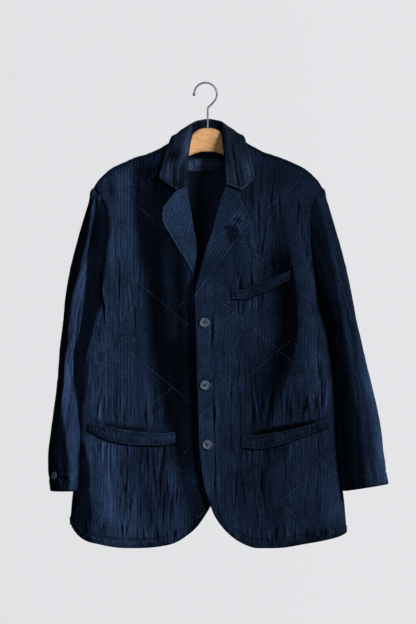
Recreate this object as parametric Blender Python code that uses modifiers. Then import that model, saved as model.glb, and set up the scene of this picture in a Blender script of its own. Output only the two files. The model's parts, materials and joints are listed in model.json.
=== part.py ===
"""Patched boro jacket on a wooden hanger: the pieces that a maker cuts and sews, at real size.

+Z is up, -Y is the front and +X is the wearer's left. The origin is the inner top of the hook's arch,
where a rod carries the hanger. All sizes below are millimetres, and solids are made in metres.
"""

import math
from collections import namedtuple

import bmesh
import bpy
import numpy as np
from mathutils import Vector
from mathutils.bvhtree import BVHTree

MM = 0.001
COLLECTION = "boro_jacket"
CUTTERS = "cutters"

# Cloth and clearances
CLOTH = 1.8                 # quilted patchwork wall
FOLDED_CLOTH = 2.6          # two layers, as in collar, lapels and welts
SEAM_GAP = 0.4              # between two panels along a seam
LAY_GAP = 1.0               # under a piece that lies on a panel
ARMHOLE_GAP = 1.4           # sleeve head beyond the body's armhole edge

# Body: a flattened tube that closes over the shoulders
CENTRE = 5.0                # garment's middle plane, x
ROUND = 2.5                 # exponent of the body's superelliptic section
CHEST = -300.0              # height where the shoulders start to close
UNDERARM = -440.0
HEM_TOP = -780.0            # height above which rows are level
LEVEL_ROWS = [HEM_TOP, -735, -690, -645, -600, -555, -515, -475]
ARMHOLE_ROWS = [UNDERARM, -434, -414, -382, -342]
CLOSING_ROWS = 8            # from the chest line to the shoulder seam
NECK_HALF = 62.0            # half width of the neck opening
SHOULDER_TIP = 231.0        # half width at the armhole's top
SHOULDER_Z = -211.0

Body = namedtuple("Body", "z half front back")
BODY = [
    Body(-940, 281, 60, 50),
    Body(-895, 278, 61, 51),
    Body(-835, 273, 62, 52),
    Body(-765, 264, 63, 54),
    Body(-705, 260, 64, 56),
    Body(-615, 256, 67, 59),
    Body(-555, 253, 70, 62),
    Body(-495, 241, 73, 64),
    Body(UNDERARM, 225, 75, 66),
    Body(-360, 227, 76, 66),
    Body(CHEST, 230, 75, 65),
    Body(-211, 236, 75, 65),
]

Ridge = namedtuple("Ridge", "x z")
RIDGE = [
    Ridge(0, -88),
    Ridge(40, -99),
    Ridge(NECK_HALF, -110),
    Ridge(106, -135),
    Ridge(161, -155),
    Ridge(201, -176),
    Ridge(220, -195),
    Ridge(SHOULDER_TIP, -211),
    Ridge(242, -229),
]

Armhole = namedtuple("Armhole", "z x")
ARMHOLE = [
    Armhole(UNDERARM, 225),
    Armhole(-436, 222.5),
    Armhole(-426, 220),
    Armhole(-410, 217),
    Armhole(-360, 210),
    Armhole(-315, 206),
    Armhole(-270, 206),
    Armhole(-237, 211),
    Armhole(-221, 221),
    Armhole(-211, SHOULDER_TIP),
]

# Front edges, from the cutaway up the roll line to the neck point
Edge = namedtuple("Edge", "z x")
LEFT_EDGE = [
    Edge(-848, 10),
    Edge(-809, -2),
    Edge(-765, -9),
    Edge(-723, -13),
    Edge(-605, -17),
    Edge(-455, -21),
    Edge(-428, -23),
    Edge(-401, -16),
    Edge(-375, -10),
    Edge(-335, 1),
    Edge(-295, 14),
    Edge(-242, 28),
    Edge(-206, 44),
    Edge(-160, 60),
    Edge(-110, CENTRE + NECK_HALF),
]
RIGHT_EDGE = [
    Edge(-861, 3),
    Edge(-848, 10),
    Edge(-825, 17),
    Edge(-790, 21),
    Edge(-500, 21),
    Edge(-455, 12),
    Edge(-420, -6),
    Edge(-385, -23),
    Edge(-335, -18),
    Edge(-285, -25),
    Edge(-235, -33),
    Edge(-200, -40),
    Edge(-160, -52),
    Edge(-110, CENTRE - NECK_HALF),
]

# Hems, from the front edge round to the side seam
Hem = namedtuple("Hem", "x z")
LEFT_HEM = [
    Hem(10, -848),
    Hem(17, -865),
    Hem(33, -889),
    Hem(53, -909),
    Hem(79, -925),
    Hem(105, -932),
    Hem(155, -931),
    Hem(193, -925),
    Hem(244, -916),
    Hem(270, -909),
    Hem(284, -902),
]
RIGHT_HEM = [
    Hem(-270, -886),
    Hem(-262, -900),
    Hem(-245, -915),
    Hem(-211, -925),
    Hem(-177, -931),
    Hem(-141, -932),
    Hem(-95, -929),
    Hem(-61, -921),
    Hem(-39, -908),
    Hem(-15, -887),
    Hem(3, -861),
]
BACK_HEM = [
    Hem(-270, -886),
    Hem(-180, -868),
    Hem(0, -846),
    Hem(180, -872),
    Hem(284, -902),
]
BACK_NECK = [
    Hem(0, -120),
    Hem(30, -118),
    Hem(50, -113),
    Hem(NECK_HALF, -110),
]

# Large soft folds: a ridge (height above 0) or a trough along a line, in x and z
Fold = namedtuple("Fold", "x0 z0 x1 z1 width height")
FRONT_FOLDS = [
    Fold(-61, -335, -66, -500, 15, 6),
    Fold(-150, -330, -165, -700, 44, 7),
    Fold(-104, -430, -108, -800, 20, -6),
    Fold(-200, -760, -214, -930, 22, 6),
    Fold(-85, -790, -76, -925, 24, 5),
    Fold(-120, -190, -95, -330, 24, 4),
    Fold(46, -450, 52, -870, 26, 5),
    Fold(190, -425, 128, -645, 19, -8),
    Fold(226, -430, 236, -700, 24, 6),
    Fold(96, -750, 84, -920, 20, -4),
    Fold(150, -740, 164, -925, 28, 5),
    Fold(150, -190, 132, -330, 24, 4),
]
BACK_FOLDS = [
    Fold(5, -240, 12, -860, 34, -6),
    Fold(-120, -280, -150, -870, 40, 7),
    Fold(128, -290, 146, -870, 38, 6),
    Fold(-205, -430, -190, -640, 20, -6),
    Fold(208, -440, 196, -660, 20, -6),
]
UNDER_LAP = 14.0            # how far the right front lies behind the left one
UNDER_LAP_START = -105.0    # x where the right front starts to fall back
UNDER_LAP_RUN = 75.0

# Sleeves: level sections, each a superellipse, from just below the underarm to the cuff.
# Column x is the distance of the section's middle from the garment's middle plane.
Section = namedtuple("Section", "z x y half deep turn rise")
SLEEVE_ROUND = 2.3
LEFT_SLEEVE = [
    Section(-480, 271, -8, 27, 69, 0, 0.20),
    Section(-535, 283, -12, 28, 68, 0, 0.19),
    Section(-615, 295, -16, 34, 63, 0, 0.18),
    Section(-695, 304.5, -20, 40, 57, 0, 0.17),
    Section(-755, 311, -22, 42, 51, 0, 0.16),
    Section(-811, 318, -24, 43.5, 46, 0, 0.16),
]
RIGHT_SLEEVE = [
    Section(-480, 263, -20, 27, 68, -4, 0.16),
    Section(-535, 272, -38, 24, 67, -8, 0.10),
    Section(-615, 276, -62, 26, 62, -8, 0.04),
    Section(-695, 284, -68, 29, 57, -7, 0.02),
    Section(-755, 288.5, -71, 31, 54, -5, 0.0),
    Section(-817, 288.5, -70, 26, 52, -3, 0.0),
]
HEAD_PUFF = 5.0             # fullness eased into the sleeve head
HEAD_ROWS = 6
SLEEVE_ROWS = 10
UPPER_COLUMNS = 8           # the upper sleeve's columns each way from its top

# Collar: its fold line and its outer edge, from the gorge round to the middle of the back
Collar = namedtuple("Collar", "left right y z edge_left edge_right edge_y edge_z")
COLLAR = [
    Collar(38, 43, -75, -202, 67, 62, -71, -215),
    Collar(37, 43, -74, -190, 93, 97, -69, -189),
    Collar(36, 43, -66, -170, 88, 90, -62, -165),
    Collar(34, 41, -50, -143, 80, 82, -46, -136),
    Collar(31, 36, -26, -112, 71, 73, -24, -119),
    Collar(30, 32, 0, -91, 67, 68, 4, -112),
    Collar(27, 28, 26, -79, 60, 61, 34, -116),
    Collar(14, 14, 38, -74, 30, 30, 50, -125),
    Collar(0, 0, 41, -72, 0, 0, 54, -128),
]
COLLAR_BULGE = 5.0
COLLAR_CLEAR = 5.5          # the fall's outer face above the shoulders

# Lapels: the roll line and the outer edge, from the break up to the gorge seam
Lapel = namedtuple("Lapel", "step roll_x roll_z edge_x edge_z")
LEFT_LAPEL = [
    Lapel(0.00, -22.5, -427, -20, -430),
    Lapel(0.25, -13, -388, 3, -394),
    Lapel(0.50, 1, -335, 45, -339),
    Lapel(0.68, 14, -295, 73, -300),
    Lapel(0.80, 20, -270, 87, -281),
    Lapel(0.88, 28, -242, 88, -267),
    Lapel(1.00, 41, -207, 65, -222),
]
RIGHT_LAPEL = [
    Lapel(0.00, -23, -383, -24, -387),
    Lapel(0.30, -18, -335, -42, -352),
    Lapel(0.60, -25, -285, -71, -305),
    Lapel(0.75, -29, -259, -87, -270),
    Lapel(0.86, -33, -235, -86, -250),
    Lapel(1.00, -38, -207, -61, -219),
]
LAPEL_ROLL = 6.0            # how far the fold stands off the front
LAPEL_LIFT = 0.8            # more room under a lapel, whose edge is free

# Welts: top and bottom edge along each pocket
Welt = namedtuple("Welt", "x top bottom")
RIGHT_HIP_WELT = [
    Welt(-231, -681, -698),
    Welt(-199, -688, -714),
    Welt(-165, -694, -723),
    Welt(-132, -698, -726),
    Welt(-93, -701, -726),
    Welt(-60, -699, -721),
]
LEFT_HIP_WELT = [
    Welt(72, -706, -730),
    Welt(104, -704, -734),
    Welt(142, -699, -727),
    Welt(193, -688, -710),
    Welt(245, -671, -690),
]
WELT_LIFT = 0.4
CHEST_WELT = [
    Welt(52, -415, -433),
    Welt(75, -414, -434),
    Welt(104, -402, -424),
    Welt(140, -388, -410),
    Welt(168, -375, -393),
]

# Inside of the back neck
FACING_HALF = 46.0
FACING_DEPTH = 52.0
LABEL_HALF = 27.0
LABEL_TOP = -148.0
LABEL_BOTTOM = -162.0
BACK_FACING_TOP = -122.0
INSIDE_CLOTH = 1.0
STAND_INSET = 4.0           # inside the collar's fold
STAND_DROP = 1.5

# Lower edge of the collar's stand along the neck seam
Foot = namedtuple("Foot", "x y z")
STAND_FOOT = [
    Foot(47, -27, -123),
    Foot(53, -1, -107),
    Foot(42, 21, -106),
    Foot(21, 32, -112),
    Foot(0, 35, -114),
]

# Buttons
FRONT_BUTTONS = [(-2, -480), (-1, -605), (4, -724)]
FRONT_BUTTON_RADIUS = 9.5
CUFF_BUTTON_RADIUS = 7.5
CUFF_BUTTONS = {"left": (352, 12, -770), "right": (-297, -98, -785)}
BUTTON_THICK = 3.2
BUTTON_RIM = 1.7
BUTTON_DISH = 0.9
BUTTON_HOLE = 0.9
HOLE_SPACING = 1.9
BUTTON_SIDES = 16
BUTTON_LIFT = 1.4           # above the cloth's faceted face
CUFF_BUTTON_LIFT = 2.2      # more where the sleeve turns

# Hanger: upright sections along x, and a steel hook let into the wood
Arm = namedtuple("Arm", "x top bottom half y")
HANGER = [
    Arm(0, -89, -137, 8, 0),
    Arm(16, -91.5, -138, 8, 0),
    Arm(31, -101.5, -143, 8, 0),
    Arm(44, -113, -149, 9, 0),
    Arm(72, -127, -159, 10, -1),
    Arm(112, -145, -174, 12, -2),
    Arm(150, -160, -187, 13, -3),
    Arm(180, -174, -199, 13, -4),
    Arm(193, -184, -204, 10, -4),
    Arm(197, -191, -201, 5, -4),
]
HANGER_ROUND = 2.6
HANGER_SIDES = 16
HOOK_WIRE = 1.9             # wire radius
HOOK_RADIUS = 22.9          # centre line of the arch
HOOK_CENTRE = -21.0         # height of the arch's centre
HOOK_TIP = [(190, 0.7), (186, 1.4), (181, 1.65), (176, 1.4), (171.5, 1.0)]  # degrees round the arch, swell
STEM_X = 4.4
STEM_TOP = -52.0
STEM_BOTTOM = -112.0
STEM_FIT = 0.35

Colour = namedtuple("Colour", "red green blue roughness metallic")
COLOURS = {
    "indigo": Colour(0.012, 0.022, 0.060, 0.9, 0.0),
    "indigo_inside": Colour(0.008, 0.012, 0.030, 0.92, 0.0),
    "label": Colour(0.020, 0.028, 0.060, 0.8, 0.0),
    "button": Colour(0.10, 0.15, 0.24, 0.35, 0.0),
    "wood": Colour(0.52, 0.33, 0.18, 0.5, 0.0),
    "steel": Colour(0.55, 0.57, 0.60, 0.3, 1.0),
}


def smooth(table, key, value, at):
    """Reads a column of a table as a smooth curve over another column."""
    keys = np.array([getattr(row, key) for row in table], float)
    values = np.array([getattr(row, value) for row in table], float)
    steps = np.diff(keys)
    rises = np.diff(values) / steps
    turning = rises[1:] * rises[:-1] <= 0
    inner = np.where(turning, 0.0, (rises[1:] + rises[:-1]) / 2)
    slopes = np.concatenate([rises[:1], inner, rises[-1:]])
    at = np.asarray(at, float)
    index = np.clip(np.searchsorted(keys, at, side="right") - 1, 0, len(keys) - 2)
    t = np.clip((at - keys[index]) / steps[index], 0, 1)
    start, end = values[index], values[index + 1]
    out, into = slopes[index] * steps[index], slopes[index + 1] * steps[index]
    return (
        start * (1 + 2 * t) * (1 - t) ** 2
        + out * t * (1 - t) ** 2
        + end * t ** 2 * (3 - 2 * t)
        + into * t ** 2 * (t - 1)
    )


def ramp(value, start, run):
    """0 below start, 1 beyond start + run, and smooth between."""
    t = np.clip((value - start) / run, 0, 1)
    return t * t * (3 - 2 * t)


# ---- the body's form ----

def closing(x, z):
    """How far a point has risen from the chest line to the shoulder ridge, 0 to 1."""
    ridge = smooth(RIDGE, "x", "z", np.abs(x - CENTRE))
    return np.maximum(0.0, (z - CHEST) / (ridge - CHEST))


def fullness(x, z):
    """1 in the middle of the body, 0 at its side and along its shoulder ridge."""
    across = 1 - np.abs((x - CENTRE) / smooth(BODY, "z", "half", z)) ** ROUND
    up = 1 - closing(x, z) ** ROUND
    return np.clip(across, 0, 1) * np.clip(up, 0, 1)


def body_level(points, depth_column):
    """A function that is 0 on the body's form and grows outwards."""
    x, y, z = points[..., 0], points[..., 1], points[..., 2]
    across = 1 - np.abs((x - CENTRE) / smooth(BODY, "z", "half", z)) ** ROUND
    up = 1 - closing(x, z) ** ROUND
    return np.abs(y / smooth(BODY, "z", depth_column, z)) ** ROUND - across * up


def body_slope(points, depth_column):
    """How fast the level function grows along each axis."""
    slope = np.zeros_like(points)
    for axis in range(3):
        move = np.zeros(3)
        move[axis] = 0.5
        slope[..., axis] = body_level(points + move, depth_column) - body_level(points - move, depth_column)
    return slope


def body_normal(points, depth_column):
    """Outward directions on the body's form."""
    slope = body_slope(points, depth_column)
    return slope / np.linalg.norm(slope, axis=-1, keepdims=True)


def body_height(points, depth_column):
    """About how far points are outside the body's form."""
    slope = np.linalg.norm(body_slope(points, depth_column), axis=-1)
    return body_level(points, depth_column) / slope


def keep_off(points, distance):
    """Moves points out along the body's normals until they clear its outer face by a distance."""
    moved = points.copy()
    for column, ahead in (("front", -1), ("back", 1)):
        chosen = moved[..., 1] * ahead >= 0
        for _ in range(4):
            some = moved[chosen]
            normal, height = body_normal(some, column), body_height(some, column)
            moved[chosen] = some + normal * np.maximum(0, distance - height)[..., None]
    return moved


def fold_height(x, z, folds):
    """Height of all soft folds at a point of the body."""
    total = np.zeros(np.broadcast(x, z).shape)
    for fold in folds:
        run, drop = fold.x1 - fold.x0, fold.z1 - fold.z0
        along = np.clip(((x - fold.x0) * run + (z - fold.z0) * drop) / (run ** 2 + drop ** 2), 0, 1)
        away = np.hypot(x - fold.x0 - along * run, z - fold.z0 - along * drop)
        total = total + fold.height * np.exp(-((away / fold.width) ** 2))
    return total


def front_y(x, z, under=False):
    """The fronts' outer face. The under front falls back towards the opening."""
    full = fullness(x, z)
    y = -SEAM_GAP / 2 - smooth(BODY, "z", "front", z) * full ** (1 / ROUND)
    y = y - fold_height(x, z, FRONT_FOLDS) * np.minimum(1, 3 * full)
    if under:
        below_break = 1 - ramp(z, -470.0, 110.0)
        y = y + UNDER_LAP * ramp(x, UNDER_LAP_START, UNDER_LAP_RUN) * below_break
    return y


def back_y(x, z):
    """The back's outer face."""
    full = fullness(x, z)
    y = SEAM_GAP / 2 + smooth(BODY, "z", "back", z) * full ** (1 / ROUND)
    return y + fold_height(x, z, BACK_FOLDS) * np.minimum(1, 3 * full)


def side_half(z):
    """Half width at a panel's outer edge: the side seam, then the armhole above it."""
    if z <= UNDERARM:
        return float(smooth(BODY, "z", "half", z))
    return float(smooth(ARMHOLE, "z", "x", z))


def meeting(row_z, edge_x):
    """x on an edge where a row that runs at row_z(x) meets it."""
    low, high = -960.0, -80.0
    for _ in range(44):
        middle = (low + high) / 2
        if row_z(edge_x(middle)) > middle:
            low = middle
        else:
            high = middle
    return edge_x(low)


def panel_rows(hem, top):
    """Heights of a panel's rows as functions of x: rising from the hem, level, then to the top."""
    def from_hem(part):
        return lambda x: smooth(hem, "x", "z", x) * (1 - part) + HEM_TOP * part

    def to_top(part):
        return lambda x: CHEST + part * (top(x) - CHEST)

    rows = [from_hem(part) for part in (0.0, 0.12, 0.34, 0.66)]
    rows += [lambda x, z=z: np.full_like(np.asarray(x, float), z) for z in LEVEL_ROWS + ARMHOLE_ROWS]
    turns = np.linspace(0, math.pi / 2, CLOSING_ROWS)
    return rows + [to_top(math.sin(turn) ** (2 / ROUND)) for turn in turns]


def ridge_z(x):
    return smooth(RIDGE, "x", "z", np.abs(x - CENTRE))


def front_grid(side, edge, hem, columns=13):
    """Points of a front panel's outer face, side 1 for the wearer's left and -1 for the right."""
    grid = []
    for row_z in panel_rows(hem, ridge_z):
        outer = meeting(row_z, lambda z: CENTRE + side * side_half(z))
        inner = meeting(row_z, lambda z: float(smooth(edge, "z", "x", z)))
        x = inner + (outer - inner) * (1 - np.cos(np.linspace(0, math.pi, columns))) / 2
        z = row_z(x)
        grid.append(np.stack([x, front_y(x, z, under=side < 0), z], axis=-1))
    return np.array(grid)


def back_grid(columns=17):
    """Points of the back panel's outer face, from side seam to side seam."""
    def top(x):
        away = np.abs(x - CENTRE)
        return np.where(away < NECK_HALF, smooth(BACK_NECK, "x", "z", away), ridge_z(x))

    grid = []
    for row_z in panel_rows(BACK_HEM, top):
        left = meeting(row_z, lambda z: CENTRE + side_half(z))
        right = meeting(row_z, lambda z: CENTRE - side_half(z))
        spread = np.sin(np.linspace(-math.pi / 2, math.pi / 2, columns))
        x = (left + right) / 2 + (left - right) / 2 * spread
        z = row_z(x)
        grid.append(np.stack([x, back_y(x, z), z], axis=-1))
    return np.array(grid)


# ---- solids ----

def add_object(name, mesh, material):
    """Puts a mesh in the jacket's collection under its node's name."""
    made = bpy.data.objects.new(name, mesh)
    made.data.materials.append(MATERIALS[material])
    bpy.data.collections[COLLECTION].objects.link(made)
    return made


def add_wall(name, outer, inner, material):
    """A closed sheet between two grids of points, for cloth that no primitive makes."""
    rows, columns = outer.shape[:2]
    shell = bmesh.new()
    sheets = []
    for grid in (outer, inner):
        sheets.append([[shell.verts.new(point * MM) for point in row] for row in grid])
    for sheet in sheets:
        for i in range(rows - 1):
            for j in range(columns - 1):
                shell.faces.new((sheet[i][j], sheet[i][j + 1], sheet[i + 1][j + 1], sheet[i + 1][j]))
    border = [(i, 0) for i in range(rows)]
    border += [(rows - 1, j) for j in range(1, columns)]
    border += [(i, columns - 1) for i in range(rows - 2, -1, -1)]
    border += [(0, j) for j in range(columns - 2, 0, -1)]
    for (i, j), (k, l) in zip(border, border[1:] + border[:1]):
        shell.faces.new((sheets[0][i][j], sheets[0][k][l], sheets[1][k][l], sheets[1][i][j]))
    bmesh.ops.recalc_face_normals(shell, faces=shell.faces)
    bmesh.ops.triangulate(shell, faces=shell.faces, quad_method="FIXED")
    FACES[name] = BVHTree.FromBMesh(shell)
    mesh = bpy.data.meshes.new(name)
    shell.to_mesh(mesh)
    shell.free()
    mesh.shade_smooth()
    mesh.set_sharp_from_angle(angle=math.radians(50))
    return add_object(name, mesh, material)


def add_body_panel(name, grid, depth_column, material="indigo"):
    """A panel of the body, its wall laid inwards from the outer face."""
    normals = body_normal(grid, depth_column)
    return add_wall(name, grid, grid - CLOTH * normals, material)


def points_on(panel, x, z):
    """Points on a panel's built face, as seen from the front, at given x and z.

    Beyond the panel's edge a point takes the depth of the nearest edge.
    """
    found = np.stack([x, front_y(x, z), z], axis=-1).astype(float)
    for place in np.ndindex(x.shape):
        spot = Vector(found[place]) * MM
        hit = FACES[panel].ray_cast(Vector((spot.x, -1, spot.z)), Vector((0, 1, 0)))[0]
        if hit is None:
            hit = FACES[panel].find_nearest(spot)[0]
        found[place][1] = hit.y / MM
    return found


def add_laid_piece(name, panel, x, z, thick, lift=0.0):
    """A piece that lies on a front: the front's own points, moved out."""
    on_front = points_on(panel, x, z)
    out = body_normal(on_front, "front")
    lift = LAY_GAP + np.asarray(lift, float)[..., None]
    return add_wall(name, on_front + out * (lift + thick), on_front + out * lift, "indigo")


# ---- sleeves ----

def armhole_ring(side, front, back):
    """The armhole's seam: the panels' own edge points, from the shoulder tip through the front."""
    rows = len(ARMHOLE_ROWS) + CLOSING_ROWS
    front_edge = front[-rows:, -1]
    back_edge = back[-rows:, -1 if side > 0 else 0]
    ring = np.concatenate([front_edge[::-1], back_edge[1:-1]])
    for corner in (0, rows - 1):
        ring[corner, 1] = 0.0
    middle, reach = (SHOULDER_Z + UNDERARM) / 2, (SHOULDER_Z - UNDERARM) / 2
    turns = np.arccos(np.clip((ring[:, 2] - middle) / reach, -1, 1))
    turns[rows:] = 2 * math.pi - turns[rows:]
    return ring + np.array([side * ARMHOLE_GAP, 0, 0]), turns


def section_point(side, sections, z, turn):
    """A point of a sleeve's section at a height, turned from the outside through the front."""
    half, deep = smooth(sections, "z", "half", z), smooth(sections, "z", "deep", z)
    across = half * np.sign(np.cos(turn)) * np.abs(np.cos(turn)) ** (2 / SLEEVE_ROUND)
    forward = deep * np.sign(np.sin(turn)) * np.abs(np.sin(turn)) ** (2 / SLEEVE_ROUND)
    angle = np.radians(smooth(sections, "z", "turn", z))
    out = across * np.cos(angle) + forward * np.sin(angle)
    ahead = forward * np.cos(angle) - across * np.sin(angle)
    x = CENTRE + side * (smooth(sections, "z", "x", z) + out)
    y = smooth(sections, "z", "y", z) - ahead
    return np.stack([x, y, z + smooth(sections, "z", "rise", z) * out], axis=-1)


def sleeve_grid(side, sections, head, turns):
    """A sleeve's outer face: the head eased from the armhole, then the sections to the cuff."""
    cuff, first = sections[0].z, sections[-1].z
    start = section_point(side, sections, np.full_like(turns, first), turns)
    below = section_point(side, sections, np.full_like(turns, first - 1), turns)
    reach = np.linalg.norm(start - head, axis=-1, keepdims=True)
    rows = []
    for t in np.linspace(0, 1, HEAD_ROWS, endpoint=False):
        straight = head + (start - head) * t
        eased = straight + t ** 2 * (t - 1) * (reach * (below - start) - (start - head))
        puff = HEAD_PUFF * math.sin(math.pi * t)
        eased[:, 0] += side * puff * np.clip(np.cos(turns), 0, 1)
        eased[:, 1] -= puff * np.sin(turns)
        rows.append(eased)
    for z in np.linspace(first, cuff, SLEEVE_ROWS):
        rows.append(section_point(side, sections, np.full_like(turns, z), turns))
    return np.array(rows)


def grid_normals(grid, closed_columns):
    """Unit normals of a grid of points."""
    down = np.gradient(grid, axis=0)
    if closed_columns:
        round_ = np.roll(grid, -1, axis=1) - np.roll(grid, 1, axis=1)
    else:
        round_ = np.gradient(grid, axis=1)
    normals = np.cross(down, round_)
    normals /= np.linalg.norm(normals, axis=-1, keepdims=True)
    return normals


def trimmed(grid, columns):
    """Some columns of a sleeve, with the two at its seams drawn back by half the seam's gap."""
    piece = np.take(grid, columns, axis=1, mode="wrap")
    for edge, within in ((0, 1), (-1, -2)):
        back = piece[:, within] - piece[:, edge]
        piece[:, edge] += back / np.linalg.norm(back, axis=-1, keepdims=True) * SEAM_GAP / 2
    return piece


def add_sleeve(side, word, sections, front, back):
    """A two-piece sleeve: the upper sleeve over the outside and the under sleeve inside."""
    sections = sorted(sections, key=lambda row: row.z)
    head, turns = armhole_ring(side, front, back)
    grid = sleeve_grid(side, sections, head, turns)
    inner = grid + side * CLOTH * grid_normals(grid, closed_columns=True)
    count = len(turns)
    upper = np.arange(-UPPER_COLUMNS, UPPER_COLUMNS + 1)
    under = np.arange(UPPER_COLUMNS, count - UPPER_COLUMNS + 1)
    for piece, columns in (("upper", upper), ("under", under)):
        add_wall(f"sleeve_{word}_{piece}", trimmed(grid, columns), trimmed(inner, columns), "indigo")


# ---- collar, lapels, welts and neck ----

def collar_stations():
    """The collar's fold line and outer edge, from the left gorge round to the right one."""
    fold, edge = [], []
    for row in COLLAR:
        fold.append((CENTRE + row.left, row.y, row.z))
        edge.append((CENTRE + row.edge_left, row.edge_y, row.edge_z))
    for row in reversed(COLLAR[:-1]):
        fold.append((CENTRE - row.right, row.y, row.z))
        edge.append((CENTRE - row.edge_right, row.edge_y, row.edge_z))
    return np.array(fold, float), np.array(edge, float)


def refine(points, parts):
    """More points on a smooth curve through the given ones."""
    ends = np.concatenate([2 * points[:1] - points[1:2], points, 2 * points[-1:] - points[-2:-1]])
    fine = []
    for i in range(1, len(ends) - 2):
        for t in np.linspace(0, 1, parts, endpoint=False):
            before, start, end, after = ends[i - 1:i + 3]
            fine.append(
                0.5 * (2 * start + (end - before) * t
                       + (2 * before - 5 * start + 4 * end - after) * t ** 2
                       + (3 * start - before - 3 * end + after) * t ** 3)
            )
    fine.append(points[-1])
    return np.array(fine)


def add_collar():
    """The collar's fall, which lies over the neck seam."""
    fold, edge = collar_stations()
    fold, edge = refine(fold, 2), refine(edge, 2)
    along = np.gradient(fold + edge, axis=0)
    out = np.cross(edge - fold, along)
    out /= np.linalg.norm(out, axis=-1, keepdims=True)
    rows = []
    for v in np.linspace(0, 1, 6):
        rows.append(fold + (edge - fold) * v + out * COLLAR_BULGE * math.sin(math.pi * v))
    grid = np.array(rows)
    grid[1:] = keep_off(grid[1:], COLLAR_CLEAR)
    normals = grid_normals(grid, closed_columns=False)
    add_wall("collar", grid, grid - FOLDED_CLOTH * normals, "indigo")


def add_lapel(name, panel, table):
    """A lapel: the front's facing turned out along the roll line."""
    steps = np.linspace(0, 1, 11)
    across = np.linspace(0, 1, 5)
    roll_x, roll_z = smooth(table, "step", "roll_x", steps), smooth(table, "step", "roll_z", steps)
    edge_x, edge_z = smooth(table, "step", "edge_x", steps), smooth(table, "step", "edge_z", steps)
    x = roll_x[:, None] + (edge_x - roll_x)[:, None] * across
    z = roll_z[:, None] + (edge_z - roll_z)[:, None] * across
    lift = LAPEL_LIFT + LAPEL_ROLL * np.sin(math.pi * steps)[:, None] * (1 - across) ** 2
    add_laid_piece(name, panel, x, z, FOLDED_CLOTH, lift)


def add_welt(name, panel, table):
    """A pocket's welt, a folded strip laid over the pocket mouth."""
    x = np.linspace(table[0].x, table[-1].x, 15)
    top, bottom = smooth(table, "x", "top", x), smooth(table, "x", "bottom", x)
    z = np.stack([top, top * 0.5 + bottom * 0.5, bottom])
    add_laid_piece(name, panel, np.broadcast_to(x, z.shape), z, FOLDED_CLOTH, WELT_LIFT)


def add_neck_pieces():
    """The collar's stand, the facing inside the back neck and a bare label on it."""
    fold, _ = collar_stations()
    stations = fold[4:-4].copy()
    inward = np.array([CENTRE, 8.0, 0.0]) - stations
    inward[:, 2] = 0
    inward /= np.linalg.norm(inward, axis=-1, keepdims=True)
    top = refine(stations + inward * STAND_INSET + np.array([0, 0, -STAND_DROP]), 2)
    neck = np.array([(CENTRE + side * x, y, z) for side, x, y, z in stand_foot()], float)
    foot = refine(neck, 2)
    grid = np.array([top + (foot - top) * v for v in np.linspace(0, 1, 4)])
    normals = grid_normals(grid, closed_columns=False)
    add_wall("collar_stand", grid, grid - CLOTH * normals, "indigo_inside")

    bottom = BACK_FACING_TOP - FACING_DEPTH
    add_inside_piece("neck_facing", "back", FACING_HALF, BACK_FACING_TOP, bottom, "indigo_inside")
    add_inside_piece("neck_label", "neck_facing", LABEL_HALF, LABEL_TOP, LABEL_BOTTOM, "label")


def stand_foot():
    """The stand's lower edge along the neck seam, from the left front round to the right."""
    half = [(1, row.x, row.y, row.z) for row in STAND_FOOT]
    return half + [(-1, row.x, row.y, row.z) for row in reversed(STAND_FOOT[:-1])]


def add_inside_piece(name, panel, half, top, bottom, material):
    """A piece inside the back neck, moved in from the points of what it lies on."""
    x = CENTRE + np.linspace(-half, half, 9)
    x, z = np.meshgrid(x, np.linspace(top, bottom, 4))
    behind = points_on(panel, x, z)
    into = -body_normal(behind, "back")
    add_wall(name, behind + into * LAY_GAP, behind + into * (LAY_GAP + INSIDE_CLOTH), material)


# ---- buttons, hanger and hook ----

def add_turned(name, profile, sides, material):
    """A turned solid about its own z axis, from a profile of (radius, height) in millimetres."""
    outline = bpy.data.meshes.new(name)
    points = [(radius * MM, 0, height * MM) for radius, height in profile]
    outline.from_pydata(points, [(i, i + 1) for i in range(len(points) - 1)], [])
    made = add_object(name, outline, material)
    screw = made.modifiers.new("turn", "SCREW")
    screw.steps = screw.render_steps = sides
    screw.use_merge_vertices = True
    screw.merge_threshold = 0.00001
    return made


def add_button(name, radius, place, facing):
    """A four-hole button with a rim and a dished middle, facing along a direction."""
    profile = [
        (0, BUTTON_THICK - BUTTON_DISH),
        (radius - BUTTON_RIM - 0.7, BUTTON_THICK - BUTTON_DISH),
        (radius - BUTTON_RIM, BUTTON_THICK),
        (radius - 0.6, BUTTON_THICK),
        (radius, BUTTON_THICK - 1.0),
        (radius - 0.9, 0),
        (0, 0),
    ]
    button = add_turned(name, profile, BUTTON_SIDES, "button")
    for corner in range(4):
        angle = math.radians(45 + 90 * corner)
        spot = (HOLE_SPACING * math.cos(angle) * MM, HOLE_SPACING * math.sin(angle) * MM, 0)
        bpy.ops.mesh.primitive_cylinder_add(
            vertices=6, radius=BUTTON_HOLE * MM, depth=4 * BUTTON_THICK * MM, location=spot
        )
        cut(button, bpy.context.object, f"hole_{corner + 1}")
    turn = facing_turn(facing)
    button.location = place * MM
    button.rotation_euler = turn


def facing_turn(facing):
    """Rotation that turns +Z to a direction."""
    return Vector(facing).to_track_quat("Z", "Y").to_euler()


def cut(target, cutter, label):
    """Cuts a cutter out of a target, and keeps the cutter with it."""
    for collection in list(cutter.users_collection):
        collection.objects.unlink(cutter)
    bpy.data.collections[CUTTERS].objects.link(cutter)
    cutter.name = f"cut_{target.name}_{label}"
    cutter.parent = target
    cutter.hide_render = True
    cutter.display_type = "WIRE"
    boolean = target.modifiers.new(label, "BOOLEAN")
    boolean.operation = "DIFFERENCE"
    boolean.object = cutter


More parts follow.
